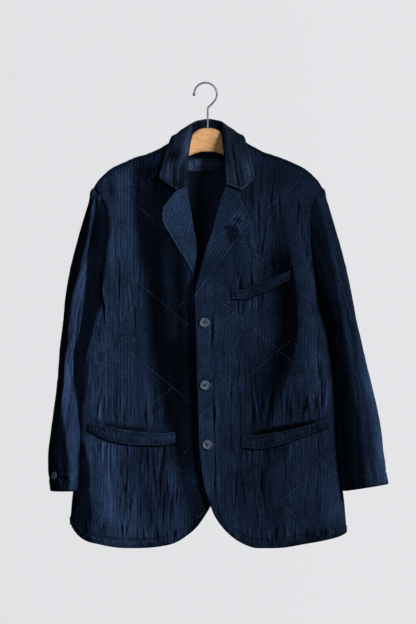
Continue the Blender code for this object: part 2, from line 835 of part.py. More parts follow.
def resting_place(cloth, spot, reach):
    """The point of built cloth nearest a spot, and the way it faces over a button's width."""
    here, facing, _, _ = FACES[cloth].find_nearest(Vector(spot) * MM)
    faces = [FACES[cloth].find_nearest(here + Vector((dx, 0, dz)) * MM)[1]
             for dx in (-reach, 0, reach) for dz in (-reach, 0, reach)]
    return np.array(here) / MM, sum(faces, Vector()).normalized()


def add_buttons():
    """Three buttons down the left front and one at the back of each cuff."""
    for number, (x, z) in enumerate(FRONT_BUTTONS, start=1):
        spot = (x, float(front_y(x, z)), z)
        here, facing = resting_place("front_left", spot, FRONT_BUTTON_RADIUS * 0.7)
        add_button(f"front_button_{number}", FRONT_BUTTON_RADIUS, here + BUTTON_LIFT * np.array(facing), facing)
    for word, spot in CUFF_BUTTONS.items():
        here, facing = resting_place(f"sleeve_{word}_upper", spot, CUFF_BUTTON_RADIUS * 0.7)
        add_button(f"cuff_button_{word}", CUFF_BUTTON_RADIUS, here + CUFF_BUTTON_LIFT * np.array(facing), facing)


def hanger_section(arm, side):
    """Points round one upright section of the hanger."""
    turns = np.linspace(0, 2 * math.pi, HANGER_SIDES, endpoint=False)
    middle, tall = (arm.top + arm.bottom) / 2, (arm.top - arm.bottom) / 2
    flat = 2 / HANGER_ROUND
    y = arm.y + arm.half * np.sign(np.sin(turns)) * np.abs(np.sin(turns)) ** flat
    z = middle + tall * np.sign(np.cos(turns)) * np.abs(np.cos(turns)) ** flat
    return np.stack([np.full_like(y, STEM_X + side * arm.x), y, z], axis=-1)


def add_hanger():
    """The contoured wooden hanger, lofted from end to end, with the hook's hole cut in its top."""
    sections = [hanger_section(arm, -1) for arm in reversed(HANGER)]
    sections += [hanger_section(arm, 1) for arm in HANGER[1:]]
    body = bmesh.new()
    rings = [[body.verts.new(point * MM) for point in section] for section in sections]
    for ring, following in zip(rings, rings[1:]):
        for i in range(HANGER_SIDES):
            j = (i + 1) % HANGER_SIDES
            body.faces.new((ring[i], ring[j], following[j], following[i]))
    body.faces.new(rings[0])
    body.faces.new(rings[-1])
    bmesh.ops.recalc_face_normals(body, faces=body.faces)
    mesh = bpy.data.meshes.new("hanger")
    body.to_mesh(mesh)
    body.free()
    mesh.shade_smooth()
    mesh.set_sharp_from_angle(angle=math.radians(50))
    hanger = add_object("hanger", mesh, "wood")
    deep = 40.0
    bpy.ops.mesh.primitive_cylinder_add(
        vertices=16,
        radius=(HOOK_WIRE + STEM_FIT) * MM,
        depth=deep * MM,
        location=(STEM_X * MM, 0, (STEM_BOTTOM - STEM_FIT + deep / 2) * MM),
    )
    cut(hanger, bpy.context.object, "hook_hole")


def add_hook():
    """The steel hook: a ball tip, an arch, a sweep back to the middle and a straight stem."""
    points = []
    for degrees, swell in HOOK_TIP:
        points.append((*on_arch(degrees), swell))
    for degrees in range(162, -41, -13):
        points.append((*on_arch(degrees), 1.0))
    leave = on_arch(-40)
    points.append((leave[0] * 0.52 + STEM_X * 0.48, leave[1] * 0.6 + STEM_TOP * 0.4, 1.0))
    points += [(STEM_X + 0.6, STEM_TOP + 3.5, 1.0), (STEM_X, STEM_TOP - 3, 1.0), (STEM_X, STEM_BOTTOM, 1.0)]
    wire = bpy.data.curves.new("hook", "CURVE")
    wire.dimensions = "3D"
    wire.bevel_depth = HOOK_WIRE * MM
    wire.bevel_resolution = 2
    wire.use_fill_caps = True
    wire.render_resolution_u = 0
    line = wire.splines.new("POLY")
    line.points.add(len(points) - 1)
    for point, (x, z, swell) in zip(line.points, points):
        point.co = (x * MM, 0, z * MM, 1)
        point.radius = swell
    hook = bpy.data.objects.new("hook", wire)
    wire.materials.append(MATERIALS["steel"])
    bpy.data.collections[COLLECTION].objects.link(hook)


def on_arch(degrees):
    """x and z of a point of the hook's arch."""
    turn = math.radians(degrees)
    return HOOK_RADIUS * math.cos(turn), HOOK_CENTRE + HOOK_RADIUS * math.sin(turn)


def make_material(name, colour):
    """A plain material with a part's colour, roughness and metallic value."""
    material = bpy.data.materials.new(name)
    material.use_nodes = True
    surface = material.node_tree.nodes["Principled BSDF"]
    surface.inputs["Base Color"].default_value = (colour.red, colour.green, colour.blue, 1)
    surface.inputs["Roughness"].default_value = colour.roughness
    surface.inputs["Metallic"].default_value = colour.metallic
    return material


def main():
    for old in list(bpy.data.objects):
        bpy.data.objects.remove(old)
    for name in (COLLECTION, CUTTERS):
        bpy.context.scene.collection.children.link(bpy.data.collections.new(name))
    for name, colour in COLOURS.items():
        MATERIALS[name] = make_material(name, colour)

    left, right = front_grid(1, LEFT_EDGE, LEFT_HEM), front_grid(-1, RIGHT_EDGE, RIGHT_HEM)
    back = back_grid()
    add_body_panel("front_left", left, "front")
    add_body_panel("front_right", right, "front")
    add_body_panel("back", back, "back")
    add_sleeve(1, "left", LEFT_SLEEVE, left, back)
    add_sleeve(-1, "right", RIGHT_SLEEVE, right, back)
    add_collar()
    add_lapel("lapel_left", "front_left", LEFT_LAPEL)
    add_lapel("lapel_right", "front_right", RIGHT_LAPEL)
    add_welt("hip_welt_left", "front_left", LEFT_HIP_WELT)
    add_welt("hip_welt_right", "front_right", RIGHT_HIP_WELT)
    add_welt("chest_welt", "front_left", CHEST_WELT)
    add_neck_pieces()
    add_buttons()
    add_hanger()
    add_hook()


MATERIALS = {}
FACES = {}                  # built cloth, to lay other pieces on

if __name__ == "__main__":
    main()
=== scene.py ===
"""Looks of the patched boro jacket: quilted indigo cloth, stitching, buttons, beech hanger and steel hook.

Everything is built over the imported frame, in metres. +Z is up, -Y is the front and +X is the wearer's
left. Tables of the garment's shape are in millimetres.
"""

import json
import math
from collections import namedtuple

import bpy
import numpy as np
from bpy.props import FloatProperty, FloatVectorProperty, PointerProperty
from mathutils import Matrix, Vector
from mathutils.bvhtree import BVHTree

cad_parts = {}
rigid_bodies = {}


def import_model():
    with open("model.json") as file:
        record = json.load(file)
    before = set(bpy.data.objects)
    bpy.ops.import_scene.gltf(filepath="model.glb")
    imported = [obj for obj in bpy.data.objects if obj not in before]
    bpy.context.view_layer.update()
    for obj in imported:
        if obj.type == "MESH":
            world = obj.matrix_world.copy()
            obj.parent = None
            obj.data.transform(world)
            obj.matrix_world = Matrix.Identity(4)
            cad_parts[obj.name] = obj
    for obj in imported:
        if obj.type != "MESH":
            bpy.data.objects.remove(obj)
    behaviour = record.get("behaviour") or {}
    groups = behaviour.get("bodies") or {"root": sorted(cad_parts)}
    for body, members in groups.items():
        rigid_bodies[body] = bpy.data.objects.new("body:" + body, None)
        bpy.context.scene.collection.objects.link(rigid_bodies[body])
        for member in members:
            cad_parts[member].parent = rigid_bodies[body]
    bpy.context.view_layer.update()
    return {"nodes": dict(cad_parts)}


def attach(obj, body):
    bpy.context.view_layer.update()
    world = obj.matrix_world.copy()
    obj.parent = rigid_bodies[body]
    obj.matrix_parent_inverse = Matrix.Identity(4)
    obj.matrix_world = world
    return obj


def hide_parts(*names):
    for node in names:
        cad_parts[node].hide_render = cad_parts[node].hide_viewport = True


bl_info = {
    "name": "Boro jacket",
    "version": (1, 0, 0),
    "blender": (4, 5, 0),
    "location": "View3D > Sidebar > Jacket",
    "description": "Builds a patched boro jacket on its hanger over the packed frame",
    "category": "Object",
}

for old in list(bpy.data.objects):
    bpy.data.objects.remove(old)
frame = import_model()


def table(columns, rows):
    """Rows of numbers with named columns."""
    row = namedtuple("Row", columns)
    return [row(*values) for values in rows]


MM = 0.001
SEAM_GAP = 0.4              # between two panels along a seam
ARMHOLE_GAP = 0.5           # between a sleeve head and the body

# Body: a flattened tube that closes over the shoulders
CENTRE = 5.0                # garment's middle plane, x
ROUND = 2.5                 # exponent of the body's superelliptic section
CHEST = -300.0              # height where the shoulders start to close
UNDERARM = -440.0
HEM_TOP = -780.0            # height above which rows are level
NECK_HALF = 62.0            # half width of the neck opening
SHOULDER_TIP = 231.0        # half width at the armhole's top

BODY = table("z half front back", [
    (-940, 281, 60, 50), (-895, 278, 61, 51), (-835, 273, 62, 52), (-765, 264, 63, 54),
    (-705, 260, 64, 56), (-615, 256, 67, 59), (-555, 253, 70, 62), (-495, 241, 73, 64),
    (UNDERARM, 225, 75, 66), (-360, 227, 76, 66), (CHEST, 230, 75, 65), (-211, 236, 75, 65),
])

RIDGE = table("x z", [
    (0, -88), (40, -99), (NECK_HALF, -110), (106, -135), (161, -155), (201, -176), (220, -195),
    (SHOULDER_TIP, -211), (242, -229),
])

ARMHOLE = table("z x", [
    (UNDERARM, 225), (-436, 222.5), (-426, 220), (-410, 217), (-360, 210), (-315, 206), (-270, 206),
    (-237, 211), (-221, 221), (-211, SHOULDER_TIP),
])

# Front edges, from the cutaway up the roll line to the neck point
LEFT_EDGE = table("z x", [
    (-848, 10), (-809, -2), (-765, -9), (-723, -13), (-605, -17), (-455, -21), (-428, -23), (-401, -16),
    (-375, -10), (-335, 1), (-295, 14), (-242, 28), (-206, 44), (-160, 60), (-110, CENTRE + NECK_HALF),
])
RIGHT_EDGE = table("z x", [
    (-861, 3), (-848, 10), (-825, 17), (-790, 21), (-500, 21), (-455, 12), (-420, -6), (-385, -23),
    (-335, -18), (-285, -25), (-235, -33), (-200, -40), (-160, -52), (-110, CENTRE - NECK_HALF),
])

# Hems, from the front edge round to the side seam
LEFT_HEM = table("x z", [
    (10, -848), (17, -865), (33, -889), (53, -909), (79, -925), (105, -932), (155, -931), (193, -925),
    (244, -916), (270, -909), (284, -902),
])
RIGHT_HEM = table("x z", [
    (-270, -886), (-262, -900), (-245, -915), (-211, -925), (-177, -931), (-141, -932), (-95, -929),
    (-61, -921), (-39, -908), (-15, -887), (3, -861),
])
BACK_HEM = table("x z", [
    (-270, -886), (-180, -868), (0, -846), (180, -872), (284, -902),
])
BACK_NECK = table("x z", [
    (0, -120), (30, -118), (50, -113), (NECK_HALF, -110),
])

# Large soft folds: a ridge (height above 0) or a trough along a line, in x and z
FRONT_FOLDS = table("x0 z0 x1 z1 width height", [
    (-61, -335, -66, -500, 15, 6), (-150, -330, -165, -700, 44, 7), (-104, -430, -108, -800, 20, -6),
    (-200, -760, -214, -930, 22, 6), (-85, -790, -76, -925, 24, 5), (-120, -190, -95, -330, 24, 4),
    (46, -450, 52, -870, 26, 5), (190, -425, 128, -645, 19, -8), (226, -430, 236, -700, 24, 6),
    (96, -750, 84, -920, 20, -4), (150, -740, 164, -925, 28, 5), (150, -190, 132, -330, 24, 4),
])
BACK_FOLDS = table("x0 z0 x1 z1 width height", [
    (5, -240, 12, -860, 34, -6), (-120, -280, -150, -870, 40, 7), (128, -290, 146, -870, 38, 6),
    (-205, -430, -190, -640, 20, -6), (208, -440, 196, -660, 20, -6),
])

# Sleeves: level sections, each a superellipse, from the cuff up to just below the underarm.
# Column x is the distance of the section's middle from the garment's middle plane.
SLEEVE_ROUND = 2.3
LEFT_SLEEVE = table("z x y half deep turn rise", [
    (-811, 318, -24, 43.5, 46, 0, 0.16), (-755, 311, -22, 42, 51, 0, 0.16),
    (-695, 304.5, -20, 40, 57, 0, 0.17), (-615, 295, -16, 34, 63, 0, 0.18),
    (-535, 283, -12, 28, 68, 0, 0.19), (-480, 271, -8, 27, 69, 0, 0.20),
])
RIGHT_SLEEVE = table("z x y half deep turn rise", [
    (-817, 288.5, -70, 26, 52, -3, 0.0), (-755, 288.5, -71, 31, 54, -5, 0.0),
    (-695, 284, -68, 29, 57, -7, 0.02), (-615, 276, -62, 26, 62, -8, 0.04),
    (-535, 272, -38, 24, 67, -8, 0.10), (-480, 263, -20, 27, 68, -4, 0.16),
])
HEAD_PUFF = 5.0             # fullness eased into the sleeve head

# Collar: its fold line and its outer edge, from the gorge round to the middle of the back
COLLAR = table("left right y z edge_left edge_right edge_y edge_z", [
    (38, 43, -75, -202, 67, 62, -71, -215), (37, 43, -74, -190, 93, 97, -69, -189),
    (36, 43, -66, -170, 88, 90, -62, -165), (34, 41, -50, -143, 80, 82, -46, -136),
    (31, 36, -26, -112, 71, 73, -24, -119), (30, 32, 0, -91, 67, 68, 4, -112),
    (27, 28, 26, -79, 60, 61, 34, -116), (14, 14, 38, -74, 30, 30, 50, -125),
    (0, 0, 41, -72, 0, 0, 54, -128),
])
COLLAR_BULGE = 5.0
COLLAR_CLEAR = 5.5          # the fall's outer face above the shoulders

# Lapels: the roll line and the outer edge, from the break up to the gorge seam
LEFT_LAPEL = table("step roll_x roll_z edge_x edge_z", [
    (0.00, -22.5, -427, -20, -430), (0.25, -13, -388, 3, -394), (0.50, 1, -335, 45, -339),
    (0.68, 14, -295, 73, -300), (0.80, 20, -270, 87, -281), (0.88, 28, -242, 88, -267),
    (1.00, 41, -207, 65, -222),
])
RIGHT_LAPEL = table("step roll_x roll_z edge_x edge_z", [
    (0.00, -23, -383, -24, -387), (0.30, -18, -335, -42, -352), (0.60, -25, -285, -71, -305),
    (0.75, -29, -259, -87, -270), (0.86, -33, -235, -86, -250), (1.00, -38, -207, -61, -219),
])
LAPEL_ROLL = 6.0            # how far the fold stands off the front
LAPEL_LIFT = 1.5            # how far its edge stands off
LAPEL_BREAK = -400          # height where the roll line ends at the front edge

# Welts: top and bottom edge along each pocket
RIGHT_HIP_WELT = table("x top bottom", [
    (-231, -681, -698), (-199, -688, -714), (-165, -694, -723), (-132, -698, -726), (-93, -701, -726),
    (-60, -699, -721),
])
LEFT_HIP_WELT = table("x top bottom", [
    (72, -706, -730), (104, -704, -734), (142, -699, -727), (193, -688, -710), (245, -671, -690),
])
CHEST_WELT = table("x top bottom", [
    (52, -415, -433), (75, -414, -434), (104, -402, -424), (140, -388, -410), (168, -375, -393),
])

# Inside of the back neck
FACING_HALF = 46.0
FACING_DEPTH = 52.0
LABEL_HALF = 27.0
LABEL_TOP = -148.0
LABEL_BOTTOM = -162.0
BACK_FACING_TOP = -122.0
STAND_INSET = 4.0           # inside the collar's fold
STAND_DROP = 1.5

# Lower edge of the collar's stand along the neck seam
STAND_FOOT = table("x y z", [
    (47, -27, -123), (53, -1, -107), (42, 21, -106), (21, 32, -112), (0, 35, -114),
])

# Buttons
FRONT_BUTTONS = [(-2, -480), (-1, -605), (4, -724)]
FRONT_BUTTON_RADIUS = 9.5
CUFF_BUTTON_RADIUS = 7.5
CUFF_BUTTONS = {"left": (13, -770), "right": (-112.5, -785)}      # y and height
CUFF_DENT = 2.6             # how far a cuff button draws the cloth in
BUTTON_THICK = 3.2
BUTTON_RIM = 0.95           # radius of the rounded rim
BUTTON_DISH = 1.5           # depth of the dished face
BUTTON_HOLE = 0.9
HOLE_SPACING = 1.9

# Hanger: upright sections along x, and a steel hook let into the wood
HANGER = table("x top bottom half y", [
    (0, -89, -137, 8, 0), (16, -91.5, -138, 8, 0), (31, -101.5, -143, 8, 0), (44, -113, -149, 9, 0),
    (72, -127, -159, 10, -1), (112, -145, -174, 12, -2), (150, -160, -187, 13, -3),
    (180, -174, -199, 13, -4), (193, -184, -204, 10, -4), (197, -191, -201, 5, -4),
])
HANGER_ROUND = 2.6
HANGER_SIDES = 48
HANGER_REACH = 190          # from its middle to where an end starts to round
HOOK_WIRE = 1.9             # wire radius
HOOK_RADIUS = 22.9          # centre line of the arch
HOOK_CENTRE = -21.0         # height of the arch's centre
HOOK_TIP = [(190, 0.7), (186, 1.4), (181, 1.65), (176, 1.4), (171.5, 1.0)]  # degrees round, swell
STEM_X = 4.4
STEM_TOP = -52.0
STEM_BOTTOM = -112.0
CLOTH = 1.8
FOLDED_CLOTH = 2.6

# The under front's hollow behind the over front: where it begins, by height, and how deep it gets
HOLLOW = table("z x depth", [
    (-940, -20, 8), (-835, -40, 18), (-795, -50, 23), (-715, -66, 27), (-635, -86, 29), (-535, -105, 29),
    (-435, -112, 27), (-335, -120, 20), (-250, -131, 10), (-200, -134, 4), (-150, -130, 0),
])
HOLLOW_RUN = 48.0

# Where the body turns away to its right side, past which the under front is painted in shade, and where
# painted shade marks a long fold on the over front
SIDE_TURN = table("z x", [
    (-940, -226), (-881, -229), (-787, -229), (-735, -240), (-700, -256), (-560, -264), (-501, -234),
    (-419, -210), (-340, -195), (-275, -188), (-235, -203), (-200, -224), (-180, -240),
])
CHEST_FOLD = table("z x", [
    (-740, 104), (-680, 132), (-625, 151), (-595, 161), (-555, 175), (-515, 181), (-475, 185),
    (-435, 183), (-395, 179), (-355, 173), (-280, 164),
])

# Soft places where the cloth is lighter (gain above 0) or darker: patches of wear, and painted light and
# shade
LEFT_WEAR_LIGHT_AND_SHADE = table("x z half_x half_z gain", [
    (0, -490, 24, 110, 0.50), (0, -700, 26, 150, 0.20), (92, -315, 28, 75, 0.65),
    (95, -470, 28, 46, 0.60), (150, -305, 20, 45, -0.50), (150, -170, 80, 45, -0.32),
    (104, -570, 38, 52, -0.30), (136, -590, 28, 70, -0.22), (186, -480, 15, 80, -0.40),
    (226, -570, 20, 48, 0.95), (222, -405, 18, 28, 0.55), (226, -310, 13, 62, -0.60),
    (55, -810, 42, 75, -0.40), (108, -800, 38, 60, -0.30), (140, -735, 26, 30, -0.40),
    (186, -640, 24, 26, -0.45), (236, -905, 40, 18, -0.55), (44, -530, 22, 110, 0.42),
    (57, -452, 14, 18, -0.45), (200, -875, 48, 38, -0.30), (172, -665, 16, 16, -0.50),
])
RIGHT_WEAR_LIGHT_AND_SHADE = table("x z half_x half_z gain", [
    (-171, -560, 26, 95, -0.20), (-127, -745, 32, 50, -0.40), (-122, -815, 36, 45, -0.38),
    (-84, -845, 36, 45, -0.45), (-176, -158, 36, 17, -0.45), (-148, -182, 16, 30, 0.55),
    (-190, -214, 10, 30, -0.62), (-30, -840, 16, 50, 0.70), (-226, -850, 16, 60, -0.30),
    (-205, -900, 30, 25, -0.40), (-140, -460, 40, 80, -0.32), (-171, -800, 26, 60, -0.42),
    (-50, -770, 14, 80, 0.60), (-128, -206, 18, 28, 0.90), (-214, -700, 20, 60, 0.15),
])

# Creases: a ridge (height above 0) or a trough from one point to another, bowed sideways
FRONT_CREASES = table("x0 z0 x1 z1 width height bow", [
    # over front, chest to hip
    (168, -340, 150, -520, 12, -8, 5), (154, -490, 112, -690, 11, -9, -4),
    (186, -330, 172, -560, 16, 6, 6), (128, -600, 122, -690, 6, -4, 1), (140, -610, 138, -690, 5, 3, 0),
    (184, -620, 190, -690, 5, -5, 1), (197, -610, 204, -682, 5, -6, -1), (96, -630, 92, -700, 5, -3, 1),
    (34, -500, 32, -600, 5, -2.5, 2), (58, -470, 66, -560, 7, -3, -3), (46, -640, 52, -770, 5, -3, 2),
    (50, -770, 60, -880, 7, -3.5, -3), (88, -760, 82, -900, 9, -4, 3), (118, -750, 106, -860, 8, -3.5, 2),
    (134, -735, 140, -880, 10, 4, 2), (172, -735, 160, -830, 8, -3, -2),
    (206, -720, 212, -890, 12, -3, 4), (228, -740, 240, -880, 10, 3, 2), (96, -190, 118, -330, 9, -3, 4),
    (76, -230, 90, -380, 7, -2.5, 2), (132, -180, 152, -300, 8, 2.5, 2),
    (160, -200, 176, -290, 8, -3, -3), (60, -360, 58, -410, 6, -2, 1), (64, -436, 60, -480, 6, -3, 1),
    (208, -300, 196, -420, 8, -3.5, -3), (222, -450, 206, -560, 8, 3, -3),
    (240, -520, 236, -700, 9, -3, 2),
    # under front
    (-226, -330, -214, -560, 9, -4, -5), (-206, -300, -196, -470, 10, 3, -3),
    (-240, -470, -228, -690, 9, 2, 4), (-246, -400, -226, -470, 6, -4, -2),
    (-186, -240, -176, -420, 8, -2.5, 3), (-158, -190, -150, -330, 9, 3, 2),
    (-136, -420, -140, -620, 7, -2.5, 2), (-118, -560, -112, -690, 6, -3, -2),
    (-104, -600, -100, -692, 5, -3.5, 1), (-88, -610, -82, -695, 5, -3, 1),
    (-128, -735, -134, -880, 9, -3, 3), (-92, -740, -70, -900, 10, -4, 6),
    (-110, -770, -100, -900, 8, 3, 3), (-156, -740, -168, -890, 8, -2.5, -3),
    (-196, -720, -206, -900, 10, 3, -3), (-224, -700, -236, -890, 9, -4, -3),
    (-180, -560, -186, -680, 7, -2.5, 2), (-70, -370, -78, -520, 8, -3, -3),
    (-196, -190, -186, -250, 8, -4, 1),
])
BACK_CREASES = table("x0 z0 x1 z1 width height bow", [
    (-180, -240, -160, -420, 10, -4, 5), (186, -250, 170, -430, 10, -4, -5),
    (-90, -200, -100, -520, 12, 4, 6), (96, -210, 104, -500, 12, 4, -6), (-40, -300, -46, -700, 9, -3, 4),
    (56, -330, 50, -720, 9, -3, -4), (-200, -520, -214, -820, 12, 4, -4),
    (212, -540, 220, -850, 12, 4, 4), (-120, -600, -110, -850, 10, -4, 4),
    (130, -610, 124, -860, 10, -4, -4), (0, -560, 6, -840, 8, 4, 2), (-236, -460, -210, -540, 7, -4, -2),
    (240, -460, 216, -550, 7, -4, 2), (-60, -740, -70, -850, 7, 3, 1), (76, -750, 84, -870, 7, 3, -1),
])
COLLAR_CREASES = table("x0 z0 x1 z1 width height bow", [
    (-62, -160, -64, -216, 3.2, -2.6, 0), (-52, -140, -54, -200, 4.0, 1.8, 0),
    (-74, -150, -78, -200, 4.0, 1.4, 0), (56, -138, 68, -219, 3.2, -2.8, 0),
    (66, -150, 77, -212, 2.8, -1.8, 0), (50, -108, 58, -160, 3.0, -2.2, 0),
    (46, -130, 58, -205, 3.6, 1.8, 0), (82, -160, 88, -205, 4.0, 1.4, 0),
])
# Bands of short sharp puckers that run up and down the cloth, scattered along a line
LEFT_PUCKERS = table("x0 z0 x1 z1 spread count length depth", [
    (58, -404, 166, -362, 16, 15, 26, 1.5), (54, -446, 118, -436, 18, 9, 34, 1.6),
    (60, -260, 150, -300, 150, 26, 60, 1.1), (182, -240, 214, -400, 40, 14, 34, 1.4),
    (78, -660, 240, -640, 36, 30, 44, 1.8), (82, -746, 236, -712, 26, 24, 46, 1.5),
    (40, -800, 120, -830, 90, 16, 60, 1.2), (12, -450, 20, -800, 60, 18, 40, 1.2),
    (28, -906, 262, -902, 8, 34, 20, 1.6), (214, -450, 240, -640, 60, 12, 50, 1.3),
    (40, -560, 100, -600, 110, 14, 50, 1.0), (150, -780, 240, -800, 110, 14, 50, 1.0),
])
RIGHT_PUCKERS = table("x0 z0 x1 z1 spread count length depth", [
    (-232, -260, -204, -450, 50, 16, 42, 1.5), (-226, -648, -66, -668, 34, 28, 40, 1.7),
    (-222, -734, -66, -744, 24, 24, 44, 1.5), (-110, -820, -40, -850, 60, 14, 64, 1.6),
    (-250, -890, -20, -908, 8, 34, 20, 1.6), (-160, -170, -90, -210, 60, 12, 46, 1.1),
    (-180, -380, -120, -420, 160, 16, 56, 0.9), (-236, -560, -200, -620, 70, 10, 40, 0.7),
    (-210, -800, -130, -820, 90, 14, 60, 1.0),
])
SLEEVE_PUCKERS = table("x0 z0 x1 z1 spread count length depth", [
    (8, -236, 70, -240, 24, 16, 26, 1.4), (0, -780, 110, -780, 22, 24, 26, 1.5),
    (30, -420, 60, -640, 120, 22, 46, 1.2), (80, -420, 100, -640, 120, 14, 46, 1.2),
    (-20, -380, -60, -700, 120, 20, 46, 1.1),
])

# Seams sewn through the over front: its facing's edge and a dart below the chest pocket
FRONT_SEAMS = table("x0 z0 x1 z1", [
    (70, -617, 71, -702), (71, -738, 70, -790), (185, -472, 180, -520),
])

# Creases on a sleeve: turn is degrees round it from the outside through the front, and down is z
RIGHT_WRINKLES = table("turn0 z0 turn1 z1 width height", [
    (150, -400, 150, -560, 16, 8.0), (62, -300, 48, -790, 7, 5.0), (84, -330, 74, -800, 9, -6.0),
    (30, -380, 22, -560, 8, -3.0), (14, -520, 20, -740, 9, 2.5), (100, -470, 40, -520, 10, -3.0),
    (96, -560, 52, -620, 9, -2.5), (110, -640, 66, -668, 8, 2.5), (20, -700, 44, -770, 6, -2.2),
    (36, -690, 60, -760, 6, 2.0), (150, -470, 100, -500, 9, -3.0), (-40, -420, -20, -600, 10, -3.5),
    (-70, -500, -60, -760, 10, 3.5), (-100, -470, -40, -530, 9, -3.0), (-120, -580, -60, -630, 9, -2.5),
])
LEFT_WRINKLES = table("turn0 z0 turn1 z1 width height", [
    (-154, -280, -154, -960, 18, 13.0), (-158, -520, -158, -960, 16, 4.0), (76, -290, 70, -560, 8, -4.0),
    (58, -340, 48, -640, 8, 3.0), (98, -470, 44, -540, 9, -3.0), (92, -540, 30, -640, 8, -3.5),
    (84, -590, 24, -700, 7, 2.5), (96, -640, 30, -760, 7, -3.0), (88, -700, 48, -790, 6, 2.0),
    (70, -740, 52, -800, 5, -2.0), (20, -420, 16, -640, 10, -2.5), (8, -600, 20, -760, 9, 2.2),
    (150, -470, 100, -505, 9, -3.0), (-40, -420, -20, -600, 10, -3.5), (-70, -500, -60, -760, 10, 3.5),
    (-100, -470, -40, -530, 9, -3.0), (-120, -580, -60, -630, 9, -2.5),
])

# Where a sleeve's lit facet, painted light, begins and ends across it, by height
RIGHT_FACET = table("z low high", [
    (-830, -271, -259), (-765, -271, -255), (-705, -279, -251), (-660, -283, -255), (-600, -279, -261),
    (-525, -272, -259), (-495, -271, -251), (-435, -263, -243), (-375, -251, -239), (-315, -237, -233),
    (-255, -228, -223), (-200, -226, -222),
])
LEFT_FACET = table("z low", [
    (-830, 322), (-765, 317), (-675, 306), (-615, 293), (-555, 285),
    (-465, 272), (-375, 257), (-285, 238), (-225, 221),
])

# Rows and columns of the meshes
# Heights of the first rows above the hem
HEM_STEPS = [0, 1.2, 2.6, 4.5, 7, 10, 13, 15, 16.5, 18, 20, 23, 27, 32]
HEM_TALL = 150.0            # from the hem up to the level rows
CLOSING_STEPS = 32
ROW_STEP = 4.6
RIB_COLUMNS = 4             # columns of points to each rib of a sleeve
FRONT_RIB_COLUMNS = 6
BACK_RIB_COLUMNS = 4
CALM_COLUMNS = 5            # columns beside a side seam over which the ribs die away
SLEEVE_RIBS = 46
HEAD_STEPS = 44
FOREARM_STEPS = 50
CUFF_STEPS = 22
CUFF_FINE = 40              # height of the finer rows above the cuff
COLLAR_PARTS = 14
BELOW_HEM = -960.0          # between these two heights every row meets its edges
ABOVE_RIDGE = -80.0
NOISE_CELLS = 97            # cells after which the noise repeats

# Seams, hems and edges
TURN_UP = 17.0              # height of the hem's turn-up
CUFF_TURN_UP = 25.0
SLEEVE_TOP = -211.0
ARMHOLE_MIDDLE = (SLEEVE_TOP + UNDERARM) / 2
ARMHOLE_REACH = (SLEEVE_TOP - UNDERARM) / 2
SEAM_HEAD = -342.0          # height of the sleeve's two seams on the armhole
ELBOW = -600.0              # height where a sleeve's ribs are spaced evenly
SLEEVE_RIB = 6.8            # distance between a sleeve's ribs
SLEEVE_MM_PER_DEGREE = 0.64
EDGE_STITCHES = 7.5         # from the over front's edge to its stitches
EDGE_BAND = 7.0             # from the edge of the collar or a lapel to its stitches
GORGE_BAND = 5.0
COLLAR_END_BAND = 6.0
WELT_LIFT = 2.4
WELT_STITCHES = 3.4         # from a welt's long edge to its stitches
LAPEL_HOLE = (65.0, -276.0)     # x and height of the closed buttonhole
LAPEL_PATCH = (55.0, -303.0)    # x and height of the square pieced in
BUTTONHOLES = [(10, -480), (11, -605), (16, -724)]
FRONT_OF = {1: "front_left_cloth", -1: "front_right_cloth"}

# Stitches and threads
TOPSTITCH = 3.1
TOPSTITCH_GAP = 2.1
LATTICE_RISE = 152.0        # upright distance between neighbouring lines of a family
LATTICE_SLOPE = 0.839       # fall of a line for each unit across
# x and height where one falling and one rising line of each front's lattice pass
LATTICE_THROUGH = {"right": ((-141, -395), (-131, -512)), "left": ((137, -527), (115, -563))}
STITCH_SIDES = 6
# part of a stitch's length, part of its radius, and how far a ring has sunk in
STITCH_RINGS = ((-0.5, 0.35, 0.5), (-0.36, 0.9, 0.1), (0.36, 0.9, 0.1), (0.5, 0.35, 0.5))

# Stage, in metres
SENSOR = 36.0               # width of the camera's sensor, in millimetres
CAMERA_AWAY = 14.0          # from the camera to the jacket's front
VIEW_TALL = 1.248           # height of the view at that distance
CAMERA_PLACE = (0.005, -14.07, -0.459)
JACKET_MIDDLE = (0, 0, -0.5)
FLOOR_RADIUS = 0.9
FLOOR_HEIGHT = -1.25
FLOOR_SIDES = 96


# ---- reading the tables ----

def smooth(table, key, value, at):
    """Reads a column of a table as a smooth curve over another column."""
    keys = np.array([getattr(row, key) for row in table], float)
    values = np.array([getattr(row, value) for row in table], float)
    steps = np.diff(keys)
    rises = np.diff(values) / steps
    turning = rises[1:] * rises[:-1] <= 0
    inner = np.where(turning, 0.0, (rises[1:] + rises[:-1]) / 2)
    slopes = np.concatenate([rises[:1], inner, rises[-1:]])
    at = np.asarray(at, float)
    index = np.clip(np.searchsorted(keys, at, side="right") - 1, 0, len(keys) - 2)
    t = np.clip((at - keys[index]) / steps[index], 0, 1)
    start, end = values[index], values[index + 1]
    out, into = slopes[index] * steps[index], slopes[index + 1] * steps[index]
    return (
        start * (1 + 2 * t) * (1 - t) ** 2
        + out * t * (1 - t) ** 2
        + end * t ** 2 * (3 - 2 * t)
        + into * t ** 2 * (t - 1)
    )


def ramp(value, start, run):
    """0 below start, 1 beyond start + run, and smooth between."""
    t = np.clip((value - start) / run, 0, 1)
    return t * t * (3 - 2 * t)


# ---- the body's form ----

def closing(x, z):
    """How far a point has risen from the chest line to the shoulder ridge, 0 to 1."""
    ridge = smooth(RIDGE, "x", "z", np.abs(x - CENTRE))
    return np.maximum(0.0, (z - CHEST) / (ridge - CHEST))


def fullness(x, z):
    """1 in the middle of the body, 0 at its side and along its shoulder ridge."""
    across = 1 - np.abs((x - CENTRE) / smooth(BODY, "z", "half", z)) ** ROUND
    up = 1 - closing(x, z) ** ROUND
    return np.clip(across, 0, 1) * np.clip(up, 0, 1)


